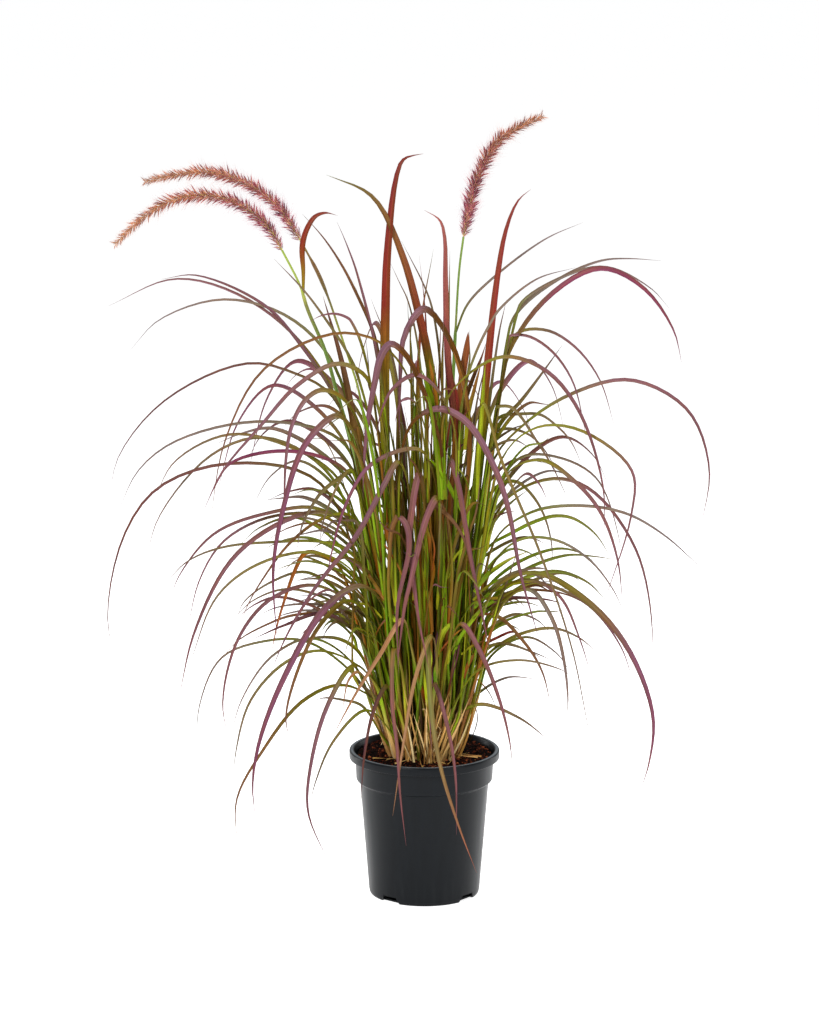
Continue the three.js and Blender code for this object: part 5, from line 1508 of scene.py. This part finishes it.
# %% One cluster
def cluster_mesh(name, seed):
    """A spikelet that points along z, with bristles that spread round it."""
    draw = random.Random(seed)
    vertices, faces = spikelet_body()
    body_count = len(vertices)
    for bristle in range(BRISTLES):
        angle = (bristle + draw.uniform(-0.3, 0.3)) * 2 * math.pi / BRISTLES
        lean = math.radians(draw.uniform(*BRISTLE_LEAN))
        length = draw.uniform(*BRISTLE_LENGTH)
        out = Vector((math.cos(angle), math.sin(angle), 0))
        end = out * math.sin(lean) * length + Vector((0, 0, math.cos(lean) * length))
        needle(vertices, faces, out * 0.3, end, BRISTLE_HALF_WIDTH)
    mesh = new_mesh(name, [vertex * MM for vertex in vertices], [], faces)
    for key, values in {
        "bristle_part": [float(i >= body_count) for i in range(len(vertices))],
        "outwards": [min(vertex.length / SPIKELET_LENGTH, 1) for vertex in vertices],
    }.items():
        mesh.attributes.new(key, "FLOAT", "POINT").data.foreach_set("value", values)
    return placed(name, mesh)


clusters = [cluster_mesh(f"cluster_{letter}", seed) for letter, seed in (("a", 3), ("b", 5), ("c", 8))]
print("faces of a cluster:", len(clusters[0].data.polygons))


# %% Pieces on points
PIECES = {"Piece A": "Object", "Piece B": "Object", "Piece C": "Object"}


def turned(tree, rotation, axis, angle):
    """A rotation turned further about one of its own axes."""
    euler = add(tree, "ShaderNodeCombineXYZ", {axis: angle})
    turn = add(tree, "FunctionNodeEulerToRotation", [euler])
    return add(tree, "FunctionNodeRotateRotation", [rotation, turn], rotation_space="LOCAL")


def by_turns(tree, inputs, points, rotation, size):
    """Puts an instance of A, B or C on each point, by turns."""
    joined = tree.nodes.new("GeometryNodeJoinGeometry")
    for title in reversed(PIECES):
        piece = add(tree, "GeometryNodeObjectInfo", {"Object": inputs[title], "As Instance": True},
                    "Geometry", transform_space="ORIGINAL")
        tree.links.new(piece, joined.inputs[0])
    return add(tree, "GeometryNodeInstanceOnPoints", {
        "Points": points, "Instance": joined.outputs[0], "Pick Instance": True,
        "Instance Index": add(tree, "GeometryNodeInputIndex"), "Rotation": rotation, "Scale": size})


# %% Plume tree
GOLDEN_ANGLE = math.radians(137.5)
plume_tree, plume_in = new_geometry_tree("plume_from_guide", {
    "Clusters": "Int", "Lean": "Float", "Axis Radius": "Float", "Seed": "Int", **PIECES})
axis_line = add(plume_tree, "GeometryNodeMeshToCurve", [plume_in["Geometry"]])
spots = add(plume_tree, "GeometryNodeCurveToPoints", {"Curve": axis_line, "Count": plume_in["Clusters"]},
            mode="COUNT").node.outputs
tone = add(plume_tree, "FunctionNodeRandomValue", {2: 0.0, 3: 1.0, "Seed": plume_in["Seed"]}, 1)
points = add(plume_tree, "GeometryNodeStoreNamedAttribute",
             {"Geometry": spots["Points"], "Name": "cluster_tone", "Value": tone})
number = add(plume_tree, "GeometryNodeInputIndex")
upright = add(plume_tree, "FunctionNodeAxesToRotation", [spots["Tangent"], spots["Normal"]],
              primary_axis="Z", secondary_axis="X")
round_axis = add(plume_tree, "ShaderNodeMath", [number, GOLDEN_ANGLE], operation="MULTIPLY")
upright = turned(plume_tree, upright, "Z", round_axis)
unevenly = add(plume_tree, "FunctionNodeRandomValue", {2: 0.6, 3: 1.35, "Seed": 21}, 1)
lean = add(plume_tree, "ShaderNodeMath", [plume_in["Lean"], unevenly], operation="MULTIPLY")
leaning = turned(plume_tree, upright, "Y", lean)
outwards = add(plume_tree, "ShaderNodeCombineXYZ", [plume_in["Axis Radius"]])
moved = add(plume_tree, "FunctionNodeRotateVector", [outwards, upright])
points = add(plume_tree, "GeometryNodeSetPosition", {"Geometry": points, "Offset": moved})
full_size = add(plume_tree, "GeometryNodeInputNamedAttribute", {"Name": "half_width"})
size_part = add(plume_tree, "FunctionNodeRandomValue", {2: 0.75, 3: 1.25, "Seed": 33}, 1)
size = add(plume_tree, "ShaderNodeMath", [full_size, size_part], operation="MULTIPLY")
close_tree(plume_tree, plume_in, by_turns(plume_tree, plume_in, points, leaning, size))
print("nodes in the plume tree:", len(plume_tree.nodes))


# %% [markdown]
# ## Spikelets
#
# The papery spikelets are mauve red near the stem, where they opened last, and turn a dry tan
# orange towards the tip. The bristles are the same colour but paler, because light comes through them.

# %% Spikelet material
GRAIN_SCALE = 900.0
spikelet, shade, shader = new_material("papery_spikelet")
along, tone, outwards, bristle_part = (
    add(shade, "ShaderNodeAttribute", output="Fac", attribute_name=name)
    for name in ("along", "cluster_tone", "outwards", "bristle_part"))
tone_off = add(shade, "ShaderNodeMath", [tone, 0.5], operation="SUBTRACT")
shift = add(shade, "ShaderNodeMath", [tone_off, 0.35], operation="MULTIPLY")
shifted = add(shade, "ShaderNodeMath", [along, shift], operation="ADD")
husk = add(shade, "ShaderNodeValToRGB", [shifted],
           stops=[(0.0, "#762c48"), (1.0, "#8c4c38"), (0.35, "#803440"), (0.7, "#84403c")])
inner = add(shade, "ShaderNodeValToRGB", [shifted], stops=[(0.0, "#b89c5c"), (1.0, "#bc8c58")])
outer_part = add(shade, "ShaderNodeValToRGB", [outwards], stops=[(0.15, 0.0), (0.55, 1.0)])
husk = add(shade, "ShaderNodeMix", {0: outer_part, 6: inner, 7: husk}, 2, **MIX)
bristle = add(shade, "ShaderNodeValToRGB", [shifted],
              stops=[(0.0, "#b06c84"), (1.0, "#bc8464"), (0.4, "#b87476")])
body = add(shade, "ShaderNodeMix", {0: bristle_part, 6: husk, 7: bristle}, 2, **MIX)
object_place = add(shade, "ShaderNodeTexCoord", output="Object")
grain = add(shade, "ShaderNodeTexNoise", {"Vector": object_place, "Scale": GRAIN_SCALE, "Detail": 2.0})
for factor, stops in ((tone, [(0.0, 0.55), (1.0, 1.4)]), (grain, [(0.3, 0.75), (0.7, 1.2)])):
    light = add(shade, "ShaderNodeValToRGB", [factor], stops=stops)
    body = add(shade, "ShaderNodeMix", {0: 1.0, 6: body, 7: light}, 2, **TIMES)
fill(shade, shader, {"Base Color": body, "Roughness": 0.6, "Specular IOR Level": 0.2})
print("nodes in the spikelet material:", len(shade.nodes))


# %% Grow the plumes
CLUSTER_COUNT = 360
CLUSTER_LEAN = math.radians(46)
PLUME_RINGS = 48
PLUME_AXIS_RADIUS = 1.1
PLUME_TIP_RADIUS = 0.4
PLUME_NARROWING = 0.5
PLUME_AXIS_COLOURS = [(0, "#a8a848"), (0.4, "#b0924c"), (1, "#b5834a")]

for number, culm in enumerate(CULMS, 1):
    centres = even_curve(beside(culm["azimuth"], culm["plume"]), PLUME_RINGS)
    radii = [mix(PLUME_AXIS_RADIUS, PLUME_TIP_RADIUS, i / (PLUME_RINGS - 1)) for i in range(PLUME_RINGS)]
    rings = stalk_rings(centres, radii, PLUME_AXIS_COLOURS)
    axis = stalk_piece(f"plume_axis_{number}", [rings])
    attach(axis, "root")
    for ring in rings:
        t = ring["along"]
        ring["half_width"] = (1 - PLUME_NARROWING * t ** 3) * smoothstep(t, -0.15, 0.12) / MM
    guide = guide_mesh(f"plume_guide_{number}", [rings])
    plume = grown(f"flower_plume_{number}_clusters", guide, plume_tree, {
        "Clusters": CLUSTER_COUNT, "Lean": CLUSTER_LEAN, "Axis Radius": PLUME_AXIS_RADIUS * MM,
        "Seed": number, **dict(zip(PIECES, clusters)), "Material": spikelet})
    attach(plume, "root")
    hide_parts(f"flower_plume_{number}")
    print(plume.name, "faces:", len(plume.data.polygons))
for cluster in clusters:
    bpy.data.objects.remove(cluster)


# %% [markdown]
# ## The nursery pot
#
# The pot is one thin moulded shell: a rolled rim, a plain band, a small step and a tapering wall, with
# four notches in the foot that let water out. It is a turned shape, so its outline is spun round, with
# small rounded corners, as a mould leaves them. Wedges then cut the notches.

# %% Outline of the pot: radius, height and the rounding of each corner
POT_HEIGHT = 219
RIM_RADIUS = 111.3
RIM_DEPTH = 12.5
LIP_WIDTH = 7
BAND_RADIUS = 102.5
STEP_HEIGHT = 174.5
FOOT_RADIUS = 82
POT_WALL = 1.8
POT_FLOOR = 2.5
BODY_TOP_RADIUS = 95.5
BAND_FOOT_RADIUS = 101
STEP_FOOT = STEP_HEIGHT - 3.5
LIP_FOOT = POT_HEIGHT - RIM_DEPTH
POT_OUTLINE = [
    (0, 0, 0), (FOOT_RADIUS - 1, 0, 2.5), (FOOT_RADIUS + 0.2, 6, 2), (BODY_TOP_RADIUS, STEP_FOOT, 1.5),
    (BAND_FOOT_RADIUS, STEP_HEIGHT, 1.5), (BAND_RADIUS, LIP_FOOT, 0.6), (RIM_RADIUS, LIP_FOOT, 1.6),
    (RIM_RADIUS, POT_HEIGHT, 3), (RIM_RADIUS - LIP_WIDTH, POT_HEIGHT, 2.4),
    (BAND_RADIUS - POT_WALL, LIP_FOOT - 2, 2), (BAND_FOOT_RADIUS - POT_WALL, STEP_HEIGHT, 1.5),
    (BODY_TOP_RADIUS - POT_WALL, STEP_FOOT, 1.5), (FOOT_RADIUS - POT_WALL, POT_FLOOR, 1), (0, POT_FLOOR, 0),
]
CORNER_STEPS = 4
CORNER_SHARE = 0.45


def rounded(outline):
    """An outline whose corners are arcs. Each corner is given with its radius."""
    result = []
    for i, (x, y, radius) in enumerate(outline):
        corner = Vector((x, y))
        if radius == 0:
            result.append(corner)
            continue
        before = Vector(outline[i - 1][:2]) - corner
        after = Vector(outline[i + 1][:2]) - corner
        reach = min(radius, before.length * CORNER_SHARE, after.length * CORNER_SHARE)
        start = corner + before.normalized() * reach
        end = corner + after.normalized() * reach
        for step in range(CORNER_STEPS + 1):
            t = step / CORNER_STEPS
            result.append(start.lerp(corner, t).lerp(corner.lerp(end, t), t))
    return result


pot_outline = rounded(POT_OUTLINE)
print("points of the pot's outline:", len(pot_outline))


# %% Turned shell
POT_SEGMENTS = 192


def turned_shell(outline, segments):
    """Vertices and faces of a shell spun round the z axis. Its outline starts and ends on the axis."""
    vertices = [(0, 0, outline[0].y * MM)]
    for point in outline[1:-1]:
        for segment in range(segments):
            angle = segment * 2 * math.pi / segments
            vertices.append((point.x * math.cos(angle) * MM, point.x * math.sin(angle) * MM, point.y * MM))
    last = len(vertices)
    vertices.append((0, 0, outline[-1].y * MM))
    faces = []
    for segment in range(segments):
        following = (segment + 1) % segments
        faces.append((0, 1 + following, 1 + segment))
        for ring in range(len(outline) - 3):
            low = 1 + ring * segments
            high = low + segments
            faces.append((low + segment, low + following, high + following, high + segment))
        high = last - segments
        faces.append((high + segment, high + following, last))
    return vertices, faces


vertices, faces = turned_shell(pot_outline, POT_SEGMENTS)
pot = placed("nursery_pot_shell", new_mesh("nursery_pot_shell", vertices, [], faces))
print("pot faces before the notches are cut:", len(faces))


# %% Notches
NOTCH_AZIMUTHS = (51, 141, 231, 321)
NOTCH_HEIGHT = 10
NOTCH_HALF_WIDTH = 17
NOTCH_HALF_TOP = 11.5
NOTCH_DEPTH = 9
WEDGE_REACH = 20
WEDGE_DROP = 5
NOTCH_OUTLINE = [
    (-NOTCH_HALF_WIDTH, -WEDGE_DROP), (NOTCH_HALF_WIDTH, -WEDGE_DROP), (NOTCH_HALF_WIDTH, 0),
    (NOTCH_HALF_TOP, NOTCH_HEIGHT), (-NOTCH_HALF_TOP, NOTCH_HEIGHT), (-NOTCH_HALF_WIDTH, 0),
]

vertices = []
faces = []
for azimuth in NOTCH_AZIMUTHS:
    first = len(vertices)
    turn = math.radians(azimuth)
    outwards = Vector((math.cos(turn), math.sin(turn), 0))
    across = Vector((-math.sin(turn), math.cos(turn), 0))
    for depth in (FOOT_RADIUS - NOTCH_DEPTH, FOOT_RADIUS + WEDGE_REACH):
        vertices += [(outwards * depth + across * x + Vector((0, 0, z))) * MM for x, z in NOTCH_OUTLINE]
    wedge = [tuple(range(5, -1, -1)), tuple(range(6, 12))]
    wedge += [(i, (i + 1) % 6, (i + 1) % 6 + 6, i + 6) for i in range(6)]
    faces += [tuple(first + i for i in face) for face in wedge]
wedges = placed("notch_wedges", new_mesh("notch_wedges", vertices, [], faces))
cut = pot.modifiers.new("notches", "BOOLEAN")
cut.operation = "DIFFERENCE"
cut.object = wedges
cut.solver = "EXACT"
cut_mesh = bpy.data.meshes.new_from_object(pot.evaluated_get(bpy.context.evaluated_depsgraph_get()))
pot.modifiers.clear()
pot.data = cut_mesh
bpy.data.objects.remove(wedges)
print("pot faces:", len(cut_mesh.polygons))


# %% [markdown]
# ## Moulded polypropylene
#
# Nursery pots are moulded from recycled black polypropylene. The surface is smooth and satin, not
# quite black, with a very fine pebbling from the mould and faint upright flow marks. Handling leaves
# it a little dusty near the foot, and the top of the rim is painted lighter: a painted highlight.

# %% Pot material
PEBBLE = 1.2
FLOW_MARK = 9
DUST_TOP = 60
PAINTED_RIM_HIGHLIGHT_DEPTHS = (0.45, 0.05)
pot_plastic, shade, shader = new_material("moulded_black_polypropylene")
spot = add(shade, "ShaderNodeTexCoord", output="Object")
pebbling = add(shade, "ShaderNodeTexNoise", {"Vector": spot, "Scale": 1 / (PEBBLE * MM), "Detail": 2.0})
flow_place = add(shade, "ShaderNodeMapping", {"Vector": spot, "Scale": (1, 1, 0.08)})
flow = add(shade, "ShaderNodeTexNoise",
           {"Vector": flow_place, "Scale": 1 / (FLOW_MARK * MM), "Detail": 3.0})
height = add(shade, "ShaderNodeSeparateXYZ", [spot], "Z")
dusty = add(shade, "ShaderNodeMapRange", {"Value": height, "From Min": DUST_TOP * MM, "From Max": 0.0})
patchy = add(shade, "ShaderNodeValToRGB", [flow], stops=[(0.5, 0.0), (0.9, 0.06)])
dust = add(shade, "ShaderNodeMath", [dusty, patchy], operation="MULTIPLY")
# Painted highlight: the top of the rim is mixed towards a light grey, fully at its very top.
painted_rim_highlight = add(shade, "ShaderNodeMapRange", {"Value": height, "From Min": (POT_HEIGHT - PAINTED_RIM_HIGHLIGHT_DEPTHS[0]) * MM,
                                           "From Max": (POT_HEIGHT - PAINTED_RIM_HIGHLIGHT_DEPTHS[1]) * MM})
body = add(shade, "ShaderNodeMix", {0: flow, 6: linear("#07090c"), 7: linear("#0f1317")}, 2, **MIX)
body = add(shade, "ShaderNodeMix", {0: dust, 6: body, 7: linear("#5f5a54")}, 2, **MIX)
body = add(shade, "ShaderNodeMix", {0: painted_rim_highlight, 6: body, 7: linear("#5c6268")}, 2, **MIX)
fill(shade, shader, {
    "Base Color": body,
    "Roughness": add(shade, "ShaderNodeValToRGB", [flow], stops=[(0.3, 0.3), (0.7, 0.4)]),
    "Specular IOR Level": 0.13,
    "Normal": add(shade, "ShaderNodeBump", {"Height": pebbling, "Strength": 0.12, "Distance": 0.0003}),
})
print("nodes in the pot material:", len(shade.nodes))

# %% Finish the pot
SHARP_ANGLE = math.radians(50)
pot.data.materials.clear()
pot.data.materials.append(pot_plastic)
pot.data.shade_smooth()
pot.data.set_sharp_from_angle(angle=SHARP_ANGLE)
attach(pot, "root")
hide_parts("nursery_pot")
print("pot size in mm:", [round(side / MM, 1) for side in pot.dimensions])


# %% [markdown]
# ## Compost
#
# The pot is filled to just under the rim with coir compost: dark crumbs, bits of bark and pale brown
# fibres. The surface is a disc made uneven with three sizes of noise, and crumbs and fibres are
# strewn over it.

# %% Compost surface
SOIL_SURFACE = 211
SOIL_MOUND = 3
SOIL_RADIUS = 98.9
SOIL_RINGS = 56
SOIL_SEGMENTS = 200
SOIL_DEPTH = 26
SOIL_TAPER = 1.5
LUMPS = ((28, 2.4), (10, 1.6), (4, 0.8))


def soil_height(x, y):
    """The height of the compost at a place, in millimetres."""
    radius = math.hypot(x, y) / SOIL_RADIUS
    lumps = sum(size * noise.noise(Vector((x / scale, y / scale, scale))) for scale, size in LUMPS)
    return SOIL_SURFACE + SOIL_MOUND * (1 - radius ** 2) + lumps * (1 - 0.6 * radius ** 8)


def soil_mesh():
    """A disc of rings with an uneven top, a skirt inside the pot and a flat underside."""
    vertices = [(0, 0, soil_height(0, 0) * MM)]
    for ring in range(1, SOIL_RINGS + 1):
        radius = SOIL_RADIUS * ring / SOIL_RINGS
        for segment in range(SOIL_SEGMENTS):
            angle = segment * 2 * math.pi / SOIL_SEGMENTS
            x, y = radius * math.cos(angle), radius * math.sin(angle)
            vertices.append((x * MM, y * MM, soil_height(x, y) * MM))
    rim = 1 + (SOIL_RINGS - 1) * SOIL_SEGMENTS
    skirt = len(vertices)
    shrink = (SOIL_RADIUS - SOIL_TAPER) / SOIL_RADIUS
    for x, y, z in vertices[rim:rim + SOIL_SEGMENTS]:
        vertices.append((x * shrink, y * shrink, (SOIL_SURFACE - SOIL_DEPTH) * MM))
    bottom = len(vertices)
    vertices.append((0, 0, (SOIL_SURFACE - SOIL_DEPTH) * MM))
    faces = []
    for segment in range(SOIL_SEGMENTS):
        following = (segment + 1) % SOIL_SEGMENTS
        faces.append((0, 1 + segment, 1 + following))
        for ring in range(SOIL_RINGS - 1):
            low = 1 + ring * SOIL_SEGMENTS
            high = low + SOIL_SEGMENTS
            faces.append((low + segment, high + segment, high + following, low + following))
        faces.append((rim + segment, skirt + segment, skirt + following, rim + following))
        faces.append((skirt + segment, bottom, skirt + following))
    return new_mesh("compost_surface", vertices, [], faces)


surface = soil_mesh()
print("faces of the compost surface:", len(surface.polygons))


# %% [markdown]
# The crumbs are small lumps of twenty faces each, the fibres short bent needles. A tree spreads
# points over the upward faces of the disc, puts one of them on each point, turned at random, and
# gives each its own shade.

# %% Crumbs and fibres
FIBRE_STEPS = 5
FIBRE_LENGTH = 5
FIBRE_HALF_WIDTH = 0.13


def lump_mesh(name, seed, flatness):
    """An uneven lump about a millimetre in radius at size 1."""
    draw = random.Random(seed)
    maker = bmesh.new()
    bmesh.ops.create_icosphere(maker, subdivisions=1, radius=MM)
    for vertex in maker.verts:
        vertex.co *= draw.uniform(0.7, 1.25)
        vertex.co.z *= flatness
    mesh = bpy.data.meshes.new(name)
    maker.to_mesh(mesh)
    maker.free()
    return placed(name, mesh)


def fibre_mesh(name, seed):
    """A bent thread of three sides, five millimetres long at size 1."""
    draw = random.Random(seed)
    vertices = []
    faces = []
    for ring in range(FIBRE_STEPS + 1):
        along = ring / FIBRE_STEPS - 0.5
        half = FIBRE_HALF_WIDTH * (1 - abs(along))
        y = 0.9 * math.sin(along * draw.uniform(3, 4))
        centre = Vector((along * FIBRE_LENGTH, y, 0.5 * math.cos(along * 3)))
        for corner in range(3):
            angle = corner * 2 * math.pi / 3
            vertices.append((centre + Vector((0, math.cos(angle), math.sin(angle))) * half) * MM)
    for ring in range(FIBRE_STEPS):
        for corner in range(3):
            following = (corner + 1) % 3
            low = ring * 3
            faces.append((low + corner, low + following, low + 3 + following, low + 3 + corner))
    faces += [(2, 1, 0), (15, 16, 17)]
    return placed(name, new_mesh(name, vertices, [], faces))


# %% Strewing tree
UPWARD = 0.3
strew_tree, strew_in = new_geometry_tree("strewn_over_surface", {
    "Pieces per Square Metre": "Float", "Smallest": "Float", "Largest": "Float", "Seed": "Int",
    "Tilt": "Float", **PIECES})
facing = add(strew_tree, "ShaderNodeSeparateXYZ", [add(strew_tree, "GeometryNodeInputNormal")], "Z")
facing_up = add(strew_tree, "ShaderNodeMath", [facing, UPWARD], operation="GREATER_THAN")
spread = add(strew_tree, "GeometryNodeDistributePointsOnFaces", {
    "Mesh": strew_in["Geometry"], "Selection": facing_up, "Density": strew_in["Pieces per Square Metre"],
    "Seed": strew_in["Seed"]}, distribute_method="RANDOM").node.outputs
tone, spin_angle, tilt_part, draw = (
    add(strew_tree, "FunctionNodeRandomValue", {2: low, 3: high, "Seed": seed}, 1)
    for low, high, seed in ((0.0, 1.0, 4), (0.0, 6.283, 5), (-1.0, 1.0, 6), (0.0, 1.0, 7)))
points = add(strew_tree, "GeometryNodeStoreNamedAttribute",
             {"Geometry": spread["Points"], "Name": "cluster_tone", "Value": tone})
spin = turned(strew_tree, spread["Rotation"], "Z", spin_angle)
tilt = add(strew_tree, "ShaderNodeMath", [strew_in["Tilt"], tilt_part], operation="MULTIPLY")
spin = turned(strew_tree, spin, "Y", tilt)
square = add(strew_tree, "ShaderNodeMath", [draw, draw], operation="MULTIPLY")
span = add(strew_tree, "ShaderNodeMath", [strew_in["Largest"], strew_in["Smallest"]], operation="SUBTRACT")
size = add(strew_tree, "ShaderNodeMath", [square, span], operation="MULTIPLY")
size = add(strew_tree, "ShaderNodeMath", [size, strew_in["Smallest"]], operation="ADD")
close_tree(strew_tree, strew_in, by_turns(strew_tree, strew_in, points, spin, size))
print("nodes in the strewing tree:", len(strew_tree.nodes))


# %% [markdown]
# ## Coir compost
#
# Moist coir is a deep red brown. Dry crumbs and bark on top of it are lighter and more orange. The
# same stuff covers the surface and the crumbs, so they share one material: the surface takes its
# shades from noise, and each crumb adds its own.

# %% Compost material
CLOD = 5
GRIT = 1.3
compost, shade, shader = new_material("moist_coir_compost")
spot = add(shade, "ShaderNodeTexCoord", output="Object")
clods = add(shade, "ShaderNodeTexNoise", {"Vector": spot, "Scale": 1 / (CLOD * MM), "Detail": 4.0})
grit = add(shade, "ShaderNodeTexNoise", {"Vector": spot, "Scale": 1 / (GRIT * MM), "Detail": 3.0})
crumb_tone = add(shade, "ShaderNodeAttribute", output="Fac", attribute_name="cluster_tone")
few_pale = add(shade, "ShaderNodeMath", [crumb_tone, 2.6], operation="POWER")
pale_part = add(shade, "ShaderNodeMath", [few_pale, 0.6], operation="MULTIPLY")
clod_part = add(shade, "ShaderNodeMath", [clods, 0.5], operation="MULTIPLY")
blend = add(shade, "ShaderNodeMath", [clod_part, pale_part], operation="ADD")
body = add(shade, "ShaderNodeValToRGB", [blend], stops=[
    (0.2, "#0a0503"), (0.95, "#b07048"), (0.4, "#160806"), (0.6, "#421a0e"), (0.8, "#7c3c20")])
grit_light = add(shade, "ShaderNodeValToRGB", [grit], stops=[(0.3, 0.6), (0.7, 1.25)])
fill(shade, shader, {
    "Base Color": add(shade, "ShaderNodeMix", {0: 1.0, 6: body, 7: grit_light}, 2, **TIMES),
    "Roughness": 0.9,
    "Specular IOR Level": 0.05,
    "Normal": add(shade, "ShaderNodeBump", {"Height": grit, "Strength": 0.8, "Distance": 0.0008}),
})
print("nodes in the compost material:", len(shade.nodes))


# %% Fill the pot
surface.materials.append(compost)
soil = placed("potting_soil_surface", surface)
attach(soil, "root")
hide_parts("potting_soil")
lumps = [lump_mesh("lump_a", 1, 0.8), lump_mesh("lump_b", 2, 0.6), lump_mesh("bark_bit", 3, 0.3)]
fibres = [fibre_mesh("fibre_a", 4), fibre_mesh("fibre_b", 5), fibre_mesh("fibre_c", 6)]
kinds = [
    ("compost_crumbs", lumps, 90000.0, 0.6, 3.2, 0.8),
    ("compost_fibres", fibres, 30000.0, 1.0, 3.4, 0.35),
]
for number, (name, pieces, density, smallest, largest, tilt) in enumerate(kinds):
    strewn = grown(name, surface.copy(), strew_tree, {
        "Pieces per Square Metre": density, "Smallest": smallest, "Largest": largest, "Seed": number,
        "Tilt": tilt, **dict(zip(PIECES, pieces)), "Material": compost})
    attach(strewn, "root")
    for piece in pieces:
        bpy.data.objects.remove(piece)
    print(name, "faces:", len(strewn.data.polygons))


# %% [markdown]
# ## Dry straws
#
# Last year's shoots have died back to pale straws among the green ones. Some still stand, broken off
# at different heights, and a few have fallen on the compost.

# %% Shapes of the straws
STRAW_COLOURS = ["#d4ac68", "#c09656", "#e4c68c", "#b0844a", "#cea468", "#8a6234"]
STRAW_LIMIT = SOIL_RADIUS - 6
STRAW_FOOT = SHOOT_FOOT + 8
STRAW_AZIMUTH = (278, 26)
STRAW_HEIGHT = (50, 150)
STRAW_SPREAD = 0.28


def straw_colours():
    top = uneven(linear(chance.choice(STRAW_COLOURS)))
    foot = uneven(linear(chance.choice(STRAW_COLOURS)))
    stops = [(-1, foot), (0, top), (1, top)]
    return stops, stops


def standing_straw():
    azimuth = chance.gauss(*STRAW_AZIMUTH)
    foot = polar(chance.uniform(46, 60), azimuth, STRAW_FOOT)
    height = chance.uniform(*STRAW_HEIGHT)
    lean = Vector((chance.uniform(-0.45, 0.45), chance.uniform(-0.16, 0.02), 1)) * height
    spread = Vector((foot.x, foot.y, 0)) * STRAW_SPREAD * height / 100
    middle = foot + lean * 0.5 + spread * 0.4
    kink = Vector((chance.uniform(-9, 9), chance.uniform(-6, 3), 0))
    return [foot, middle, foot + lean + spread + kink]


def fallen_straw():
    azimuth = chance.uniform(195, 350)
    middle = polar(chance.uniform(52, 84), azimuth, 0)
    way = polar(chance.uniform(8, 26), chance.uniform(0, 180), 0)
    ends = [middle - way, middle, middle + way]
    for i, end in enumerate(ends):
        if math.hypot(end.x, end.y) > STRAW_LIMIT:
            end *= STRAW_LIMIT / math.hypot(end.x, end.y)
        end.z = soil_height(end.x, end.y) + chance.uniform(1.5, 5) * (1 + (i == 2))
    return ends


# %% Grow the straws
STRAW_RINGS = 12
STANDING_STRAWS = 44
FALLEN_STRAWS = 9
lines = []
for maker, count, narrow, broad in ((standing_straw, STANDING_STRAWS, 2.4, 5.5),
                                    (fallen_straw, FALLEN_STRAWS, 1.2, 2.4)):
    for _ in range(count):
        centres = even_curve(maker(), STRAW_RINGS)
        blade = {"width": chance.uniform(narrow, broad),
                 "turn": (chance.uniform(-80, 80), chance.uniform(-80, 80))}
        lines.append(leaf_rings(centres, 0, blade, NO_TUBE, straw_colours()))
straws = leaf_piece("dry_straws", lines)
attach(straws, "root")
print("straws:", len(lines))
